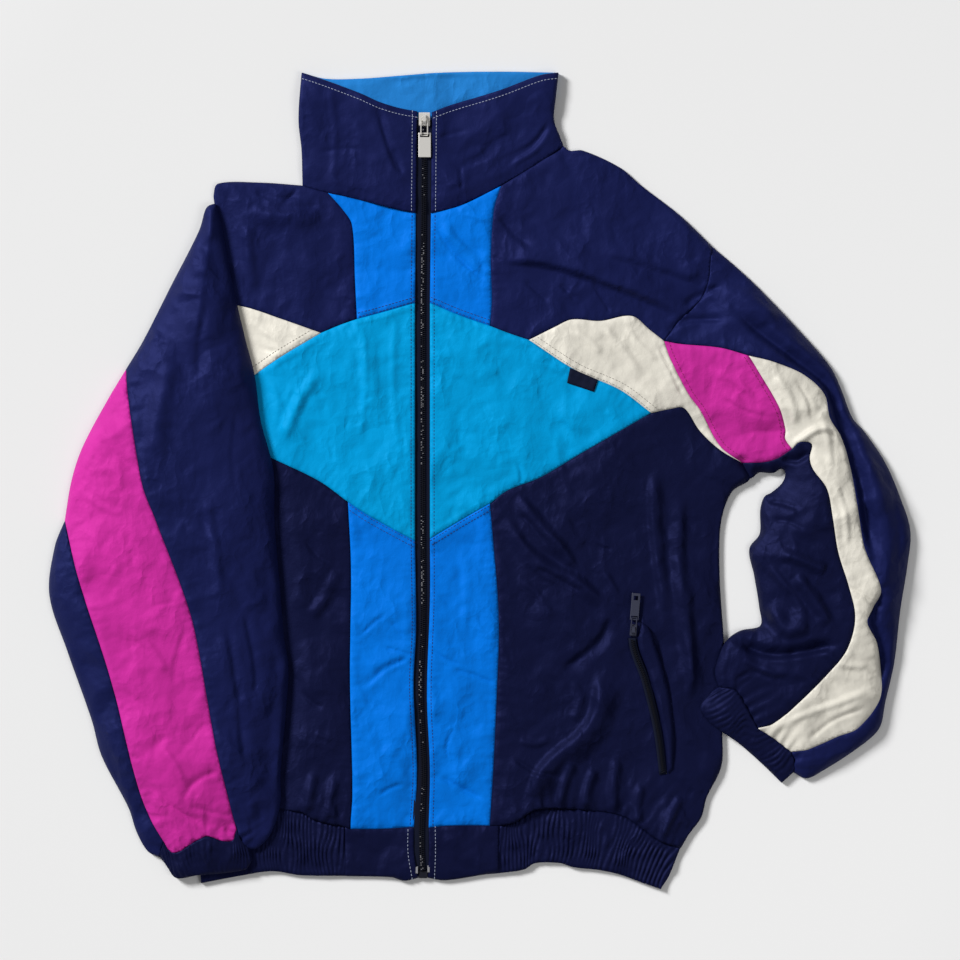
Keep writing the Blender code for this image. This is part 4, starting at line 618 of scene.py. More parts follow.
EDGE_NAMES = set(
    "collar_edge_left collar_edge_right collar_side_left collar_side_right collar_top lining_lower"
    " shoulder_top_left shoulder_top_right side_top_left side_band_left side_low_left side_right"
    " hem_end_left hem_edge_left facing_edge_left facing_edge_right hem_edge_right hem_end_right"
    " arm_outer arm_inner sleeve_inner sleeve_outer_top sleeve_outer_stripe sleeve_outer_low"
    " cuff_left_start cuff_left_edge cuff_left_end cuff_right_start cuff_right_end cuff_right_edge".split()
)
GATHERED = {"hem_seam_left", "hem_seam_right", *LEFT_CUFF_SEAM.split(), *RIGHT_CUFF_SEAM.split()}


def folds_on(points, layers):
    """The height that the folds of some layers add."""
    added = np.zeros(len(points))
    for layer, fold, line in [(layer, *found) for layer in layers for found in FOLD_LINES[layer]]:
        reach = max(fold.left, fold.right)
        close = ((points > line.min(axis=0) - reach) & (points < line.max(axis=0) + reach)).all(axis=1)
        if not close.any():
            continue
        apart, along, side = nearest(points[close], line)
        width = np.where(side > 0, fold.left, fold.right)
        width = np.where((side < 0) & (fold.height < 0), STEEP_SIDE * width, width)
        share = np.clip(apart / width, 0.0, 1.0)
        across = (1 - share) ** 2 * (1 + share) if fold.height < 0 else 0.5 + 0.5 * np.cos(math.pi * share)
        ends = ease(np.minimum(along, 1 - along) / 0.22 + 0.25)
        added[close] += (DEEPER[layer] if fold.height < 0 else HIGHER) * fold.height * across * ends
    return added


def sewn(points, names):
    """What the seams do to the cloth beside them: a groove, puckers and, at an elastic band, gathers."""
    added = np.zeros(len(points))
    seams = [name for name in names.split() if name not in EDGE_NAMES]
    if not seams:
        return added
    found = [nearest(points, COARSE[name]) for name in seams]
    apart = np.array([one[0] for one in found])
    best = apart.argmin(axis=0)
    rows = np.arange(len(points))
    close = apart[best, rows]
    lengths = np.array([(len(COARSE[name]) - 1) * MEASURE_GRID for name in seams])
    along = np.array([one[1] for one in found])[best, rows] * lengths[best]
    wander = noise(points, WANDER_SIZE, 3)
    strength = 0.6 + 0.4 * noise(points, STRENGTH_SIZE, 4)
    faint = [name == "armhole_top" or name.startswith("zip") for name in seams]
    dip = SEAM_DIP * np.where(faint, FAINT_DIP, 1.0)[best]
    added -= dip * np.exp(-((close / SEAM_DIP_WIDTH) ** 2))
    waves = np.sin(2 * math.pi * along / PUCKER_LENGTH + 2.2 * wander)
    added += PUCKER * strength * waves * np.exp(-close / PUCKER_REACH) * ease(close / 2.5)
    for index, name in enumerate(seams):
        if name in FELLED:
            added += FELL_HEIGHT * (1 - ease((found[index][0] - FELL_WIDTH) / 1.6 + 0.5))
        if name in GATHERED:
            length = found[index][1] * lengths[index]
            pleats = np.sin(2 * math.pi * length / GATHER_LENGTH + 1.6 * wander)
            added += GATHER * strength * pleats * np.exp(-found[index][0] / GATHER_REACH)
    return added


def past(points, line, side):
    """How far each point lies beyond a line, on its left for 1 and its right for -1, and 0 before it."""
    apart, _, found = nearest(points, line)
    return np.where(found == side, apart, 0.0)


def stepped(apart):
    return 1 - np.clip((apart - STEP_NEAR) / (STEP_FAR - STEP_NEAR), 0.0, 1.0)


def left_true(points):
    """1 where the left sleeve lies over the body, 0 where it lies on the surface."""
    return stepped(past(points, LEFT_STEP, -1))


def right_true(points):
    """1 where the right forearm lies over the body, 0 where it lies on the surface."""
    return stepped(past(points, RIGHT_STEP, 1)) * ease((FOREARM_TOP - points[:, 1]) / 10.0)


def left_soft(points):
    """The same for the sleeve's seen side, which settles more slowly."""
    return 1 - ease(past(points, LEFT_STEP, -1) / SOFT_STEP)


def right_soft(points):
    """The same for the forearm's seen side."""
    soft = 1 - ease(past(points, RIGHT_STEP, 1) / (0.6 * SOFT_STEP))
    return soft * ease((290.0 - points[:, 1]) / 40.0)


def flattened(points):
    """0 under the left sleeve and the right forearm, 1 well clear of them."""
    apart = np.minimum(outside_by(points, LEFT_SLEEVE), outside_by(points, FOREARM_OVER_BODY))
    return ease((apart - COVER_MARGIN) / COVER_BLEND)


def body_surface(points, names):
    edge = distance_to(points, BODY_EDGES)
    loft = BODY_LOFT * swell(edge / BODY_ROUND)
    folds = folds_on(points, ("body", "armhole")) * ease(edge / FOLD_EDGE + 0.3)
    folds = folds * ease((nearest(points, POCKET_PATH)[0] - POCKET_CLEAR) / POCKET_BLEND)
    calm = ease(nearest(points, ZIP_LINE)[0] / ZIP_CALM)
    folds = folds * (0.4 + 0.6 * calm)
    small = (CRUMPLE * calm * crumple(points, 11) + sewn(points, names)) * ease(edge / FINE_EDGE + 0.2)
    return np.maximum(RIM + (loft + folds + small) * flattened(points), LOWEST)


def collar_surface(points, names):
    edge = distance_to(points, BODY_EDGES)
    loft = BODY_LOFT * swell(edge / BODY_ROUND)
    lift = COLLAR_LIFT * ease(distance_to(points, NECK) / COLLAR_BLEND)
    calm = ease(nearest(points, ZIP_LINE)[0] / ZIP_CALM)
    small = CRUMPLE * calm * crumple(points, 23) + sewn(points, names)
    return RIM + np.maximum(loft + lift + folds_on(points, ("collar",)) + small, lift * 0.9)


def fullness(points, cuff):
    """How full a sleeve is: less at its cuff, and 1 well away from it."""
    apart = outside_by(points, outline(cuff, COARSE))
    return CUFF_LOFT + (1 - CUFF_LOFT) * ease(apart / CUFF_BLEND)


def left_surface(points, names):
    edge = distance_to(points, LEFT_EDGES)
    loft = LEFT_LOFT * fullness(points, LEFT_CUFF) * swell(edge / LEFT_ROUND)
    small = folds_on(points, ("left",)) + SLEEVE_CRUMPLE * crumple(points, 37) + sewn(points, names)
    return RIM + COVERED * left_soft(points) + np.maximum(loft + small * ease(edge / 14), 0.0)


def right_surface(points, names):
    edge = distance_to(points, RIGHT_EDGES)
    along = ease(distance_to(points, ARMHOLE) / ARMHOLE_BLEND)
    crown = BODY_LOFT + (RIGHT_LOFT * fullness(points, RIGHT_CUFF) - BODY_LOFT) * along
    reach = BODY_ROUND + (RIGHT_ROUND - BODY_ROUND) * along
    small = folds_on(points, ("right", "armhole")) + SLEEVE_CRUMPLE * crumple(points, 11)
    small = small + sewn(points, names)
    raised = crown * swell(edge / reach) + small * ease(edge / FOLD_EDGE + 0.1)
    return RIM + COVERED * right_soft(points) + np.maximum(raised, 0.0)


def flat_floor(points):
    return np.zeros(len(points))


def left_floor(points):
    return COVERED * left_true(points)


def right_floor(points):
    return COVERED * right_true(points)


def collar_floor(points):
    return np.where(distance_to(points, BODY_EDGES) > 1.5, RIM, 0.0)


# ---------------------------------------------------------------- finishes


def node(tree, kind, place, **inputs):
    made = tree.nodes.new(kind)
    made.location = place
    for name, value in inputs.items():
        made.inputs[name.replace("_", " ")].default_value = value
    return made


def mapped(tree, value, *limits):
    """A value brought from its own low and high to a new low and high."""
    ramp = tree.nodes.new("ShaderNodeMapRange")
    for name, limit in zip(("From Min", "From Max", "To Min", "To Max"), limits):
        ramp.inputs[name].default_value = limit
    tree.links.new(value, ramp.inputs["Value"])
    return ramp.outputs["Result"]


CREASES = ((52.0, 0.8, 0.0028), (120.0, 0.6, 0.0013))  # cells in a metre, strength, depth in metres


def nylon(name, colour, roughness=0.55, variation=0.07, gloss=0.2):
    """Thin crinkled nylon: fine irregular creases, a soft gloss of the cloth's own hue, and uneven tone."""
    made = bpy.data.materials.new(name)
    made.use_nodes = True
    tree = made.node_tree
    shader = tree.nodes["Principled BSDF"]
    shader.inputs["Roughness"].default_value = roughness
    shader.inputs["Specular IOR Level"].default_value = gloss
    hue = [0.1 + 0.9 * value / max(colour[:3]) for value in colour[:3]]
    shader.inputs["Specular Tint"].default_value = (*hue, 1.0)
    place = node(tree, "ShaderNodeTexCoord", (-1500, 0))
    stretch = node(tree, "ShaderNodeMapping", (-1300, -200))
    stretch.inputs["Rotation"].default_value = (0.0, 0.0, 0.4)
    stretch.inputs["Scale"].default_value = (1.0, 0.6, 1.0)
    tree.links.new(place.outputs["Object"], stretch.inputs["Vector"])
    bend = node(tree, "ShaderNodeTexNoise", (-1500, 100), Scale=60.0, Detail=2.0)
    bent = tree.nodes.new("ShaderNodeVectorMath")
    bent.operation = "MULTIPLY_ADD"
    bent.inputs[1].default_value = (0.014, 0.014, 0.0)
    where = node(tree, "ShaderNodeTexNoise", (-1300, 500), Scale=24.0, Detail=1.0)
    tree.links.new(place.outputs["Object"], bend.inputs["Vector"])
    tree.links.new(bend.outputs["Color"], bent.inputs[0])
    tree.links.new(stretch.outputs["Vector"], bent.inputs[2])
    tree.links.new(place.outputs["Object"], where.inputs["Vector"])
    mask = mapped(tree, where.outputs[0], 0.40, 0.60, 0.2, 1.0)
    layers = []
    for scale, strength, depth in CREASES:
        cells = node(tree, "ShaderNodeTexVoronoi", (-1100, scale), Scale=scale, Randomness=1.0)
        creases = tree.nodes.new("ShaderNodeMath")
        creases.operation = "MULTIPLY"
        tree.links.new(bent.outputs["Vector"], cells.inputs["Vector"])
        tree.links.new(cells.outputs["Distance"], creases.inputs[0])
        tree.links.new(mask, creases.inputs[1])
        layers.append((creases, strength, depth))
    crisp = node(tree, "ShaderNodeTexNoise", (-1100, -400), Scale=330.0, Detail=3.0, Roughness=0.6)
    crisp.inputs["Distortion"].default_value = 0.6
    weave = node(tree, "ShaderNodeTexNoise", (-1100, -700), Scale=2600.0, Detail=1.0)
    patches = node(tree, "ShaderNodeTexNoise", (-1100, 300), Scale=30.0, Detail=5.0, Roughness=0.65)
    tree.links.new(place.outputs["Object"], crisp.inputs["Vector"])
    tree.links.new(place.outputs["Object"], weave.inputs["Vector"])
    tree.links.new(stretch.outputs["Vector"], patches.inputs["Vector"])
    normal = None
    for source, strength, distance in layers + [(crisp, 0.35, 0.0006), (weave, 0.12, 0.0001)]:
        bump = node(tree, "ShaderNodeBump", (-600, -400), Strength=strength, Distance=distance)
        tree.links.new(source.outputs[0], bump.inputs["Height"])
        if normal:
            tree.links.new(normal.outputs["Normal"], bump.inputs["Normal"])
        normal = bump
    tree.links.new(normal.outputs["Normal"], shader.inputs["Normal"])
    tone = mapped(tree, patches.outputs[0], 0.3, 0.7, 1 - variation, 1 + variation)
    tinted = tree.nodes.new("ShaderNodeVectorMath")
    tinted.operation = "SCALE"
    tinted.location = (-400, 300)
    tinted.inputs[0].default_value = colour[:3]
    tree.links.new(tone, tinted.inputs["Scale"])
    tree.links.new(tinted.outputs["Vector"], shader.inputs["Base Color"])
    return made


def plain(name, colour, roughness, metallic=0.0, grain=900.0, strength=0.15, gloss=0.5):
    """A surface of one colour with a fine grain."""
    made = bpy.data.materials.new(name)
    made.use_nodes = True
    tree = made.node_tree
    shader = tree.nodes["Principled BSDF"]
    shader.inputs["Base Color"].default_value = colour
    shader.inputs["Roughness"].default_value = roughness
    shader.inputs["Metallic"].default_value = metallic
    shader.inputs["Specular IOR Level"].default_value = gloss
    place = node(tree, "ShaderNodeTexCoord", (-900, 0))
    grains = node(tree, "ShaderNodeTexNoise", (-700, 0), Scale=grain, Detail=3.0)
    bump = node(tree, "ShaderNodeBump", (-300, -200), Strength=strength, Distance=0.0002)
    tree.links.new(place.outputs["Object"], grains.inputs["Vector"])
    tree.links.new(grains.outputs[0], bump.inputs["Height"])
    tree.links.new(bump.outputs["Normal"], shader.inputs["Normal"])
    return made


navy = nylon("navy nylon", (0.0066, 0.0094, 0.054, 1.0))
# Painted shade: a darker copy of the navy nylon, the same cloth as the navy panels, used on the lower
# fronts, the hem facings, the right sleeve's inner panel, the elastic bands and the pocket welt.
painted_shade_navy = nylon("navy nylon with painted shade", (0.0036, 0.0048, 0.0245, 1.0))
royal = nylon("royal blue nylon", (0.0010, 0.150, 0.64, 1.0))
turquoise = nylon("turquoise nylon", (0.0004, 0.28, 0.60, 1.0))
magenta = nylon("magenta nylon", (0.475, 0.023, 0.268, 1.0))
pale = nylon("pale nylon", (0.68, 0.65, 0.575, 1.0), roughness=0.45, variation=0.12)
lining_blue = nylon("royal lining", (0.016, 0.18, 0.52, 1.0), variation=0.05)
tape_cloth = plain("zip tape", (0.004, 0.006, 0.018, 1.0), 0.85, grain=1400.0, strength=0.3, gloss=0.12)
teeth_plastic = plain("zip teeth", (0.004, 0.005, 0.012, 1.0), 0.35, gloss=0.35)
# Pale grey for painted glints on the zip's teeth, and for the pale metal of the two pins beside the box.
bright = plain("painted tooth glints and pin metal", (0.24, 0.24, 0.26, 1.0), 0.35)
steel = plain("brushed steel", (0.74, 0.72, 0.68, 1.0), 0.36, metallic=0.45, grain=420.0, strength=0.3)
lacquer = plain("lacquered metal", (0.045, 0.05, 0.085, 1.0), 0.34, metallic=0.4)
label_cloth = plain("label weave", (0.0035, 0.006, 0.022, 1.0), 0.85, 0.0, 2000.0, 0.2, 0.15)
thread_pale = plain("pale thread", (0.34, 0.38, 0.50, 1.0), 0.6)
thread_navy = plain("navy thread", (0.003, 0.012, 0.09, 1.0), 0.6)
thread_grey = plain("grey thread", (0.22, 0.20, 0.18, 1.0), 0.6)
thread_plum = plain("plum thread", (0.22, 0.004, 0.08, 1.0), 0.6)


# ---------------------------------------------------------------- building


def lattice(low, high, spacing):
    rows = []
    for row, y in enumerate(np.arange(low[1], high[1], spacing * math.sqrt(3) / 2)):
        across = np.arange(low[0] + (spacing / 2 if row % 2 else 0.0), high[0], spacing)
        rows.append(np.stack([across, np.full(len(across), y)], axis=1))
    return np.concatenate(rows)


def triangulated(border, spacing=GRID):
    """Triangles over an outline in plan, with an even lattice of points inside it."""
    inner = lattice(border.min(axis=0), border.max(axis=0), spacing)
    inner = inner[inside(inner, border)]
    inner = inner[nearest(inner, closed(border))[0] > 0.55 * spacing]
    spots = np.concatenate([border, inner])
    links = [(i, (i + 1) % len(border)) for i in range(len(border))]
    found = delaunay_2d_cdt([Vector(spot) for spot in spots], links, [], 0, 1e-5, True)
    points = np.array([tuple(spot) for spot in found[0]])
    came_from = np.array([ids[0] if ids else -1 for ids in found[3]])
    triangles = np.array(found[2])
    corners = points[triangles]
    spans = corners[:, 1:] - corners[:, :1]
    areas = np.abs(spans[:, 0, 0] * spans[:, 1, 1] - spans[:, 0, 1] * spans[:, 1, 0]) / 2
    rim = ((came_from >= 0) & (came_from < len(border)))[triangles].all(axis=1)
    kept = inside(corners.mean(axis=1), border) & ~(rim & (areas < 0.02))
    order = np.full(len(spots), -1)
    order[came_from[came_from >= 0]] = np.flatnonzero(came_from >= 0)
    return points, triangles[kept], order[:len(border)]


def add_mesh(name, corners, faces, finish, replaces="", smooth=True):
    """A piece on the jacket's body and in place of the solid that it replaces."""
    mesh = bpy.data.meshes.new(name)
    mesh.from_pydata([tuple(corner) for corner in corners], [], [tuple(map(int, face)) for face in faces])
    mesh.validate()
    mesh.shade_smooth() if smooth else mesh.shade_flat()
    mesh.materials.append(finish)
    made = bpy.data.objects.new(name, mesh)
    bpy.context.scene.collection.objects.link(made)
    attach(made, "jacket")
    if replaces:
        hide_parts(replaces)
    return made


def placed(points, heights):
    """Plan millimetres to metres in the frame."""
    return np.column_stack([(points[:, 0] - MIDDLE[0]) * MM, (points[:, 1] - MIDDLE[1]) * MM, heights * MM])


def flat_size(border, allowance):
    """The smallest rectangle that the cut piece fits, with its seam allowance, and its area, in metres."""
    best = None
    for degrees in range(0, 180, 3):
        turn = math.radians(degrees)
        across = border @ np.array([math.cos(turn), math.sin(turn)])
        along = border @ np.array([-math.sin(turn), math.cos(turn)])
        size = (np.ptp(across) * MM + 2 * allowance, np.ptp(along) * MM + 2 * allowance)
        if best is None or size[0] * size[1] < best[0] * best[1]:
            best = size
    x, y = border.T
    area = abs(np.dot(x, np.roll(y, -1)) - np.dot(y, np.roll(x, -1))) / 2 * MM * MM
    round_it = np.linalg.norm(border - np.roll(border, 1, axis=0), axis=1).sum() * MM
    return [round(value, 3) for value in sorted(best)], round(area + 0.5 * round_it * allowance, 5)


def add_cloth(name, corners, faces, finish, upward=False):
    """A thin shell in place of the solid of that name, turned to face up where that is asked."""
    made = add_mesh(name + "_cloth", corners, faces, finish, name)
    if upward and sum(face.normal.z for face in made.data.polygons) < 0:
        made.data.flip_normals()
    shell = made.modifiers.new("cloth thickness", "SOLIDIFY")
    shell.thickness = SHELL * MM
    shell.offset = -1.0
    return made


def declare(border, swelling=1.0, allowance=ALLOWANCE):
    flat, area = flat_size(border, allowance)
    area = min(area * swelling, flat[0] * flat[1])


def skirt_faces(above, below):
    """Two triangles for each stretch between one ring of points and the ring under it."""
    ahead = np.roll(np.arange(len(above)), -1)
    return np.concatenate([
        np.column_stack([above[ahead], above, below]), np.column_stack([above[ahead], below, below[ahead]]),
    ])


def cloth(name, names, surface, floor, finish, swelling=1.0):
    """A panel's seen side: its surface over its outline, seams turned down and free edges rolled under."""
    border = outline(names)
    points, triangles, rim = triangulated(border)
    heights = surface(points, names)
    edges = [LINES[seam] for seam in names.split() if seam in EDGE_NAMES]
    rim_points = points[rim]
    free = distance_to(rim_points, edges) < 0.3 if edges else np.zeros(len(rim), bool)
    normals = outward(rim_points)
    rim_heights = heights[rim]
    drop = np.where(free, np.maximum(rim_heights - floor(rim_points) - 0.25, 0.3), SKIRT)
    corners = [placed(points, heights)]
    faces = [triangles]
    above = rim
    count = len(points)
    for share, bulge, tuck in SKIRT_ROWS:
        moved = rim_points + normals * np.where(free, bulge, tuck)[:, None]
        corners.append(placed(moved, rim_heights - drop * share))
        below = np.arange(count, count + len(rim))
        count += len(rim)
        faces.append(skirt_faces(above, below))
        above = below
    made = add_cloth(name, np.concatenate(corners), np.concatenate(faces), finish)
    declare(border, swelling)


def underside(name, names, floor, finish, seed):
    """A panel's hidden side: flat where it rests, with a few soft folds that stand clear of the surface."""
    border = outline(names)
    points, triangles, rim = triangulated(border, HIDDEN_GRID)
    edge = nearest(points, closed(border))[0]
    lift = folds_on(points, ("below",)) + 0.9 * np.maximum(crumple(points, seed), 0.0)
    heights = floor(points) + np.maximum(lift, 0.0) * ease(edge / 10)
    made = add_cloth(name, placed(points, heights), triangles[:, ::-1], finish)
    declare(border)


def length_of(line):
    return np.linalg.norm(np.diff(line, axis=0), axis=1).sum()


def even_points(line, count):
    lengths = np.concatenate([[0.0], np.cumsum(np.linalg.norm(np.diff(line, axis=0), axis=1))])
    wanted = np.linspace(0.0, lengths[-1], count)
    return np.stack([np.interp(wanted, lengths, line[:, axis]) for axis in (0, 1)], axis=1)


def grid_faces(columns, rows):
    faces = []
    for column in range(columns - 1):
        start = column * rows
        for row in range(rows - 1):
            corner = start + row
            faces.append((corner, corner + 1, corner + rows + 1, corner + rows))
    return np.array(faces)


def band(name, upper_names, lower_names, ribs, surface, floor, crest, seen, seed):
    """An elastic band, gathered into ribs, its free edge rolled under."""
    columns = RIB_POINTS * ribs + 1
    upper = even_points(chain(upper_names), columns)
    lower = even_points(chain(lower_names), columns)
    if np.linalg.norm(upper[0] - lower[0]) > np.linalg.norm(upper[0] - lower[-1]):
        lower = lower[::-1]
    border = anticlockwise(np.concatenate([upper, lower[::-1]]))
    shares = np.linspace(0.0, 1.0, BAND_ROWS)
    corners = []
    for column in range(columns):
        span = lower[column] - upper[column]
        spots = upper[column] + shares[:, None] * span
        phase = column / RIB_POINTS + 1.3 * noise(spots / (1.0, 1.6), 16.0, seed)
        rib = (0.5 - 0.5 * np.cos(2 * math.pi * phase)) ** 0.8
        rise = 0.55 + 0.45 * noise(spots, 9.0, seed + 1)
        rows_pull = 0.82 + 0.18 * np.cos(2 * math.pi * ELASTIC_ROWS * shares)
        swelling = (0.3 + 0.7 * np.sin(math.pi * np.clip(shares, 0.04, 0.96)) ** 0.45) * rows_pull
        kept = seen(spots)
        heights = surface(spots) + kept * (crest * rib * rise * swelling - 0.4)
        corners.append(placed(spots, heights))
        reach = span / np.linalg.norm(span)
        top = heights[-1]
        low = floor(spots[-1:])[0]
        ring = np.array([spots[-1] + reach * out for drop, out in TURNED])
        levels = [max(top - drop * (top - low - 0.3) / 3.0, low + 0.2) for drop, out in TURNED]
        corners.append(placed(ring, np.array(levels)))
    faces = grid_faces(columns, len(shares) + len(TURNED))
    # The bands take the navy nylon darkened with painted shade.
    made = add_cloth(name, np.concatenate(corners), faces, painted_shade_navy, True)
    declare(border, 1.0 + 0.12 * crest)


TAPE_ROWS = 5


def ribbon(name, middle, half, heights):
    """A flat woven strip along a line."""
    corners = [placed(beside(middle, share), heights) for share in np.linspace(-half, half, TAPE_ROWS)]
    made = add_cloth(name, np.concatenate(corners), grid_faces(TAPE_ROWS, len(middle)), tape_cloth, True)


CUBE = [(x, y, z) for x in (-0.5, 0.5) for y in (-0.5, 0.5) for z in (0.0, 1.0)]
CUBE_FACES = [(0, 1, 3, 2), (4, 6, 7, 5), (0, 4, 5, 1), (2, 3, 7, 6), (1, 5, 7, 3), (0, 2, 6, 4)]


def small_boxes(name, rows, finish, replaces=""):
    """One piece of many small blocks. Each row: x, y, low z, angle, length, width, height and taper."""
    corners = []
    faces = []
    for x, y, low, angle, length, width, height, taper in rows:
        start = len(corners)
        cos, sin = math.cos(angle), math.sin(angle)
        for along, across, up in CUBE:
            slim = 1.0 - taper * up
            a, b = along * length * slim, across * width * slim
            spot = (x + a * cos - b * sin - MIDDLE[0], y + a * sin + b * cos - MIDDLE[1], low + up * height)
            corners.append([value * MM for value in spot])
        faces += [tuple(start + corner for corner in face) for face in CUBE_FACES]
    add_mesh(name, corners, faces, finish, replaces, False)


def stitch_rows(line, surface, names, pitch=3.3, length=2.5, width=0.65):
    """Stitches along a line, lying on the cloth."""
    spots = even_points(line, max(2, int(length_of(line) / pitch)))
    ahead = np.gradient(spots, axis=0)
    heights = surface(spots, names)
    return [
        (x, y, z - 0.25, math.atan2(dy, dx), length, width, 0.55, 0.35)
        for (x, y), (dx, dy), z in zip(spots, ahead, heights)
    ]


# ---------------------------------------------------------------- the jacket's cloth

PANELS = [
    ("shoulder_left", navy,
     "neck_outer_left strip_left brow_left band_top_left side_top_left shoulder_top_left"),
    ("shoulder_right", navy,
     "neck_outer_right shoulder_top_right armhole_top band_top_right brow_right strip_right"),
    ("chest_strip_left", royal, "neck_inner_left zip_chest_left peak_left strip_left"),
    ("chest_strip_right", royal, "neck_inner_right zip_chest_right peak_right strip_right"),
    ("chest_band_left", pale, "band_top_left side_band_left band_end_left band_low_left"),
    ("chest_band_right", pale, "band_top_right armhole_low band_end_right band_low_right"),
    ("diamond_left", turquoise,
     "peak_left brow_left band_low_left point_left keel_left zip_diamond_left"),
    ("diamond_right", turquoise,
     "peak_right brow_right band_low_right point_right keel_right zip_diamond_right"),
    ("front_left", painted_shade_navy,
     "point_left waist_left hem_turn_left hem_seam_left side_low_left band_end_left"),
    ("front_right", painted_shade_navy,
     "point_right band_end_right side_right hem_seam_right hem_turn_right waist_right"),
    ("waist_strip_left", royal, "keel_left zip_waist_left hem_strip_left waist_left"),
    ("waist_strip_right", royal, "keel_right zip_waist_right hem_strip_right waist_right"),
    ("hem_facing_left", painted_shade_navy,
     "hem_turn_left hem_strip_left zip_hem_left facing_edge_left facing_side_left"),
    ("hem_facing_right", painted_shade_navy,
     "hem_turn_right hem_strip_right zip_hem_right facing_edge_right facing_side_right"),
]
NAMES = {name: names for name, finish, names in PANELS}
for name, finish, names in PANELS:
    cloth(name, names, body_surface, flat_floor, finish)

SLEEVE_FULLNESS = 1.12  # cut area against the area in plan
SLEEVES = [
    ("sleeve_left_front", navy, left_surface, left_floor,
     "sleeve_outer_top stripe_inner cuff_seam_front sleeve_inner"),
    ("sleeve_left_stripe", magenta, left_surface, left_floor,
     "sleeve_outer_stripe stripe_outer cuff_seam_stripe stripe_inner"),
    ("sleeve_left_back", navy, left_surface, left_floor,
     "sleeve_outer_low cuff_seam_back stripe_outer"),
    ("sleeve_right_top", navy, right_surface, right_floor,
     "armhole_top block_top pale_outer cuff_seam_outer arm_outer"),
    ("sleeve_right_magenta", magenta, right_surface, right_floor,
     "block_top armhole_low block_low block_side"),
    ("sleeve_right_white", pale, right_surface, right_floor,
     "block_side pale_outer cuff_seam_pale pale_inner"),
    ("sleeve_right_inner", painted_shade_navy, right_surface, right_floor,
     "block_low pale_inner cuff_seam_inner arm_inner"),
]
for name, finish, surface, floor, names in SLEEVES:
    NAMES[name] = names
    below = "sleeve_left_under_cloth" if surface is left_surface else "sleeve_right_under_cloth"
    cloth(name, names, surface, floor, finish, SLEEVE_FULLNESS)

for side in ("left", "right"):
    seams = ("collar_edge", "zip_collar", "neck_inner", "neck_outer", "collar_side")
    names = " ".join(f"{seam}_{side}" for seam in seams)
    NAMES["collar_" + side] = names
    cloth("collar_" + side, names, collar_surface, collar_floor, navy)


def lining_surface(points, names):
    calm = ease(distance_to(points, BODY_EDGES) / FINE_EDGE)
    return RIM - 0.2 + 0.7 * CRUMPLE * crumple(points, 51) * calm


cloth(
    "collar_lining", "collar_top lining_lower", lining_surface, flat_floor, lining_blue
)

UNDERSIDES = [
    ("back", flat_floor, 61,
     "shoulder_top_left neck_back shoulder_top_right armhole_top armhole_low side_right"
     " hem_seam_right hem_turn_right hem_strip_right hem_strip_left hem_turn_left hem_seam_left"
     " side_low_left side_band_left side_top_left"),
    ("hem_back", flat_floor, 62,
     "hem_seam_left hem_turn_left hem_strip_left hem_strip_right hem_turn_right hem_seam_right"
     " hem_end_right hem_edge_right facing_edge_right facing_edge_left hem_edge_left hem_end_left"),
    ("collar_back", flat_floor, 63, "collar_top collar_side_right neck_back collar_side_left"),
    ("sleeve_left_under", left_floor, 64,
     "sleeve_inner cuff_seam_front cuff_seam_stripe cuff_seam_back"
     " sleeve_outer_low sleeve_outer_stripe sleeve_outer_top"),
    ("sleeve_right_under", right_floor, 65,
     "armhole_top armhole_low arm_inner cuff_seam_inner cuff_seam_pale cuff_seam_outer arm_outer"),
    ("cuff_left_under", left_floor, 66, LEFT_CUFF),
    ("cuff_right_under", right_floor, 67, RIGHT_CUFF),
]
for name, floor, seed, names in UNDERSIDES:
    underside(name, names, floor, navy, seed)


# elastic bands


def always(points):
    return np.ones(len(points))


def seen_hem(points):
    """0 where the hem's left end lies flat under the sleeve."""
    return ease(outside_by(points, LEFT_SLEEVE) / 7.0)


def hem_surface(points):
    return np.full(len(points), RIM)


def left_cuff_surface(points):
    return left_surface(points, "cuff_left_edge")


def right_cuff_surface(points):
    return right_surface(points, "cuff_right_edge")


BANDS = [
    ("hem_elastic_left", "hem_seam_left", "hem_edge_left", 34, hem_surface, flat_floor, 2.6, seen_hem,
     "hem_back_cloth", 71),
    ("hem_elastic_right", "hem_seam_right", "hem_edge_right", 38, hem_surface, flat_floor, 2.7, always,
     "hem_back_cloth", 72),
    ("cuff_left", LEFT_CUFF_SEAM, "cuff_left_edge", 20,
     left_cuff_surface, left_floor, 1.7, always, "cuff_left_under_cloth", 73),
    ("cuff_right", RIGHT_CUFF_SEAM, "cuff_right_edge", 20,
     right_cuff_surface, right_floor, 1.7, always, "cuff_right_under_cloth", 74),
]
for name, upper, lower, ribs, surface, floor, crest, seen, rests_on, seed in BANDS:
    band(name, upper, lower, ribs, surface, floor, crest, seen, seed)

# ---------------------------------------------------------------- front zip

ZIP_LEFT = chain("zip_collar_left zip_chest_left zip_diamond_left zip_waist_left zip_hem_left")[::-1]
ZIP_RIGHT = chain("zip_collar_right zip_chest_right zip_diamond_right zip_waist_right zip_hem_right")[::-1]
CHAIN_LOW, CHAIN_HIGH = 9.8, 752.4
TAPE_TOP = 765.0
TAPE_HALF = 4.3
TAPE_SINK = 1.7
TOOTH_PITCH = 2.1
TOOTH_SINK = 1.4
TOOTH = (3.0, 0.82, 1.5, 0.22)  # length, width, height, taper
TOOTH_ROOT = (0.9, 1.3, 1.25, 0.2)
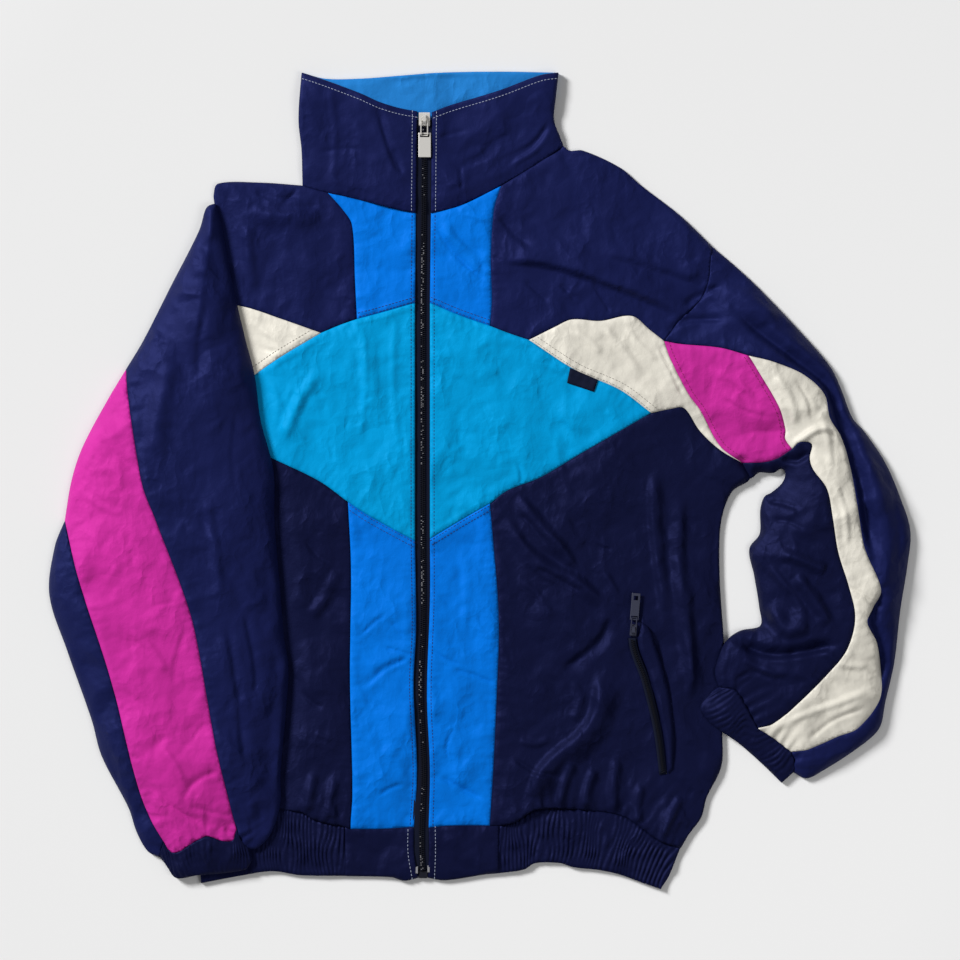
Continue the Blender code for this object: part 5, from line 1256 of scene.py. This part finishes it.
# The box of a painted glint on a tooth's tip: length, width, height and taper.
GLINT_TIP = (1.2, 0.7, 0.2, 0.3)
POCKET_TOOTH = (2.4, 0.7, 1.5, 0.2)
PIN_ENDS = ((-6.2, 10.0), (5.6, 11.0))  # the bright metal ends beside the box
PIN_LENGTH = 7.0
GLINT_FROM = 0.72  # above this chance a tooth gets a painted glint on its tip


def zip_middle(heights):
    left = np.interp(heights, ZIP_LEFT[:, 1], ZIP_LEFT[:, 0])
    right = np.interp(heights, ZIP_RIGHT[:, 1], ZIP_RIGHT[:, 0])
    return (left + right) / 2


def zip_level(points):
    """The cloth's height along the zip, its folds left out."""
    loft = BODY_LOFT * swell(distance_to(points, BODY_EDGES) / BODY_ROUND)
    lift = COLLAR_LIFT * ease(distance_to(points, NECK) / COLLAR_BLEND)
    return RIM + loft + np.where(points[:, 1] > LINES["neck_inner_left"][-1][1], lift, 0.0)


along = np.arange(CHAIN_LOW, TAPE_TOP, 6.0)
for side, name in ((-1, "zip_tape_left"), (1, "zip_tape_right")):
    middle = np.stack([zip_middle(along) + side * (TAPE_HALF + 0.2), along], axis=1)
    ribbon(name, middle, TAPE_HALF, zip_level(middle) - TAPE_SINK)
spots_y = np.arange(CHAIN_LOW, CHAIN_HIGH, TOOTH_PITCH / 2)
spots = np.stack([zip_middle(spots_y), spots_y], axis=1)
levels = zip_level(spots)
teeth = []
for index, ((x, y), z) in enumerate(zip(spots, levels)):
    side = 1 if index % 2 else -1
    teeth.append((x + side * 0.85, y, z - TOOTH_SINK, 0.0, *TOOTH))
    teeth.append((x + side * 2.2, y, z - TOOTH_SINK, 0.0, *TOOTH_ROOT))
small_boxes("zip_teeth", teeth, teeth_plastic, "zip_chain")

# Painted glints: pale boxes on the tips of teeth in small clusters, standing in for light caught by the
# chain.
counted = np.column_stack([np.arange(len(spots)), np.zeros(len(spots))])
glinting = chance(counted, 5) + 0.5 * noise(spots, 22.0, 6) > GLINT_FROM
offsets = np.where(chance(spots[glinting], 7) > 0.4, -1.0, 0.5)
tips = []
for (x, y), z, offset in zip(spots[glinting], levels[glinting], offsets):
    tips.append((x + offset, y, z + 0.02, 0.0, *GLINT_TIP))
for x, y in PIN_ENDS:
    tips.append((x, y, RIM + 1.6, math.pi / 2, PIN_LENGTH, 2.4, 1.0, 0.2))
small_boxes("zip_tips", tips, bright)

# ---------------------------------------------------------------- pocket

POCKET_BASE = RIM + BODY_LOFT + SEAM
POCKET = POCKET_PATH[(POCKET_PATH[:, 1] < 243) & (POCKET_PATH[:, 1] > 104)]
ribbon("pocket_tape", POCKET, 3.8, np.full(len(POCKET), POCKET_BASE + 0.9))
fine_path = even_points(POCKET, int(length_of(POCKET) / 0.95))
lean = np.gradient(fine_path, axis=0)
teeth = []
for index, ((x, y), (dx, dy)) in enumerate(zip(fine_path[2:-2], lean[2:-2])):
    side = 1 if index % 2 else -1
    angle = math.atan2(dy, dx) + math.pi / 2
    x += side * 0.7 * math.cos(angle)
    y += side * 0.7 * math.sin(angle)
    teeth.append((x, y, POCKET_BASE + 0.95, angle, *POCKET_TOOTH))
small_boxes("pocket_teeth", teeth, teeth_plastic, "pocket_chain")

WELT_EDGE = smooth_line(
    [(219, 258), (226.6, 251), (233, 234), (243.7, 200), (250, 163.5), (251.5, 138), (250, 112)], EDGE_GRID
)
welt_side = beside(POCKET, 5.4)
if welt_side[0][1] > welt_side[-1][1]:
    welt_side = welt_side[::-1]
WELT = anticlockwise(np.concatenate([WELT_EDGE, welt_side]))


def welt_surface(points):
    across = nearest(points, closed(WELT))[0]
    return POCKET_BASE + 1.2 + 2.9 * ease(across / 4.0) + 0.35 * crumple(points, 81)


points, triangles, rim = triangulated(WELT)
heights = welt_surface(points)
skirt = placed(points[rim] + outward(points[rim]) * 0.3, np.full(len(rim), RIM + BODY_LOFT - 0.6))
below = np.arange(len(points), len(points) + len(rim))
faces = np.concatenate([triangles, skirt_faces(rim, below)])
made = add_cloth("pocket_welt", np.concatenate([placed(points, heights), skirt]), faces, painted_shade_navy)
declare(WELT, 1.2)

# ---------------------------------------------------------------- label, left bare

LABEL_CORNERS = np.array([(147, 512), (175, 500), (171, 488), (144, 497), (147, 512)], float)
LABEL = anticlockwise(even_points(LABEL_CORNERS, 41)[:-1])
points, triangles, rim = triangulated(LABEL)
inward = nearest(points, closed(LABEL))[0]
heights = body_surface(points, NAMES["diamond_right"]) + 0.9 + 0.5 * ease(inward / 3)
made = add_cloth("seam_label", placed(points, heights), triangles, label_cloth)
declare(LABEL, allowance=0.0)

# ---------------------------------------------------------------- stitching


def row_beside(seam, distance, surface, panel):
    """Stitches beside a seam, as far as its panel goes."""
    rows = stitch_rows(beside(LINES[seam], distance), surface, NAMES[panel])
    kept = inside(np.array([row[:2] for row in rows]), outline(NAMES[panel]))
    return [row for row, on_panel in zip(rows, kept) if on_panel]


STITCHES = [
    ("stitches_pale", thread_pale, [
        ("collar_edge_left", -5.5, collar_surface, "collar_left"),
        ("collar_edge_right", -5.5, collar_surface, "collar_right"),
        ("zip_collar_left", -4.5, collar_surface, "collar_left"),
        ("zip_collar_right", 4.5, collar_surface, "collar_right"),
        ("zip_hem_left", -6.0, body_surface, "hem_facing_left"),
        ("zip_hem_right", 6.5, body_surface, "hem_facing_right"),
    ]),
    ("stitches_navy", thread_navy, [
        ("peak_left", -5.5, body_surface, "chest_strip_left"),
        ("peak_right", 5.5, body_surface, "chest_strip_right"),
        ("peak_left", -1.6, body_surface, "chest_strip_left"),
        ("peak_right", 1.6, body_surface, "chest_strip_right"),
        ("keel_left", 6.0, body_surface, "waist_strip_left"),
        ("keel_right", -6.0, body_surface, "waist_strip_right"),
        ("keel_left", 1.6, body_surface, "waist_strip_left"),
        ("keel_right", -1.6, body_surface, "waist_strip_right"),
        ("zip_chest_left", -4.0, body_surface, "chest_strip_left"),
        ("zip_chest_right", 4.0, body_surface, "chest_strip_right"),
        ("zip_diamond_left", -4.0, body_surface, "diamond_left"),
        ("zip_diamond_right", 4.0, body_surface, "diamond_right"),
        ("zip_waist_left", -4.0, body_surface, "waist_strip_left"),
        ("zip_waist_right", 4.0, body_surface, "waist_strip_right"),
    ]),
    ("stitches_grey", thread_grey, [
        ("band_low_left", -7.5, body_surface, "chest_band_left"),
        ("band_low_right", 7.0, body_surface, "chest_band_right"),
        ("band_low_right", 1.8, body_surface, "chest_band_right"),
    ]),
    ("stitches_plum", thread_plum, [
        ("block_side", -4.5, right_surface, "sleeve_right_magenta"),
        ("armhole_low", 4.5, right_surface, "sleeve_right_magenta"),
    ]),
]
for name, thread, seams in STITCHES:
    small_boxes(name, [stitch for row in seams for stitch in row_beside(*row)], thread)

# ---------------------------------------------------------------- metal

for name, finish in (
    ("zip_slider", steel), ("zip_pull_link", steel), ("zip_pull_tab", steel), ("zip_box", teeth_plastic),
    ("pocket_slider", lacquer), ("pocket_pull_link", lacquer), ("pocket_pull_tab", lacquer),
):
    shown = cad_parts[name]
    shown.data.materials.clear()
    shown.data.materials.append(finish)

# ---------------------------------------------------------------- floor, light and camera


def backdrop():
    """A pale floor, a little darker where the key light falls nearest, so that it looks even."""
    made = plain("pale floor", (0.8, 0.8, 0.8, 1.0), 0.9, grain=60.0, strength=0.02)
    tree = made.node_tree
    place = node(tree, "ShaderNodeTexCoord", (-900, 400))
    along = tree.nodes.new("ShaderNodeVectorMath")
    along.operation = "DOT_PRODUCT"
    along.inputs[1].default_value = (0.76, -0.65, 0.0)
    tree.links.new(place.outputs["Object"], along.inputs[0])
    shade = mapped(tree, along.outputs["Value"], -0.6, 0.6, FLOOR_NEAR, FLOOR_FAR)
    tree.links.new(shade, tree.nodes["Principled BSDF"].inputs["Base Color"])
    return made


FLOOR_NEAR = 0.70
FLOOR_FAR = 0.92
bpy.ops.mesh.primitive_plane_add(size=8.0, location=(0.0, 0.0, -0.0004))
floor = bpy.context.active_object
floor.name = "floor"
floor.data.materials.append(backdrop())

CAMERA_HEIGHT = 5.0
CAMERA_LENS = 187.5
camera = bpy.data.objects.new("camera", bpy.data.cameras.new("camera"))
bpy.context.scene.collection.objects.link(camera)
camera.data.lens = CAMERA_LENS
camera.data.clip_end = 50.0
camera.location = (0.0, 0.0005, CAMERA_HEIGHT + 0.006)
bpy.context.scene.camera = camera


def area_light(name, place, aim, size, power, colour=(1.0, 1.0, 1.0)):
    lamp = bpy.data.lights.new(name, "AREA")
    lamp.shape = "DISK"
    lamp.size = size
    lamp.energy = power
    lamp.color = colour
    made = bpy.data.objects.new(name, lamp)
    bpy.context.scene.collection.objects.link(made)
    made.location = place
    made.rotation_euler = (Vector(aim) - Vector(place)).to_track_quat("-Z", "Y").to_euler()


area_light("key", (-4.5, 3.2, 3.7), (0.0, 0.0, 0.0), 2.0, 560.0)
area_light("fill", (3.0, -1.5, 5.0), (0.0, 0.0, 0.0), 3.0, 60.0)
world = bpy.data.worlds.new("studio")
world.use_nodes = True
world.node_tree.nodes["Background"].inputs["Color"].default_value = (1.0, 1.0, 1.0, 1.0)
world.node_tree.nodes["Background"].inputs["Strength"].default_value = 0.20
bpy.context.scene.world = world
bpy.context.scene.view_settings.view_transform = "Standard"
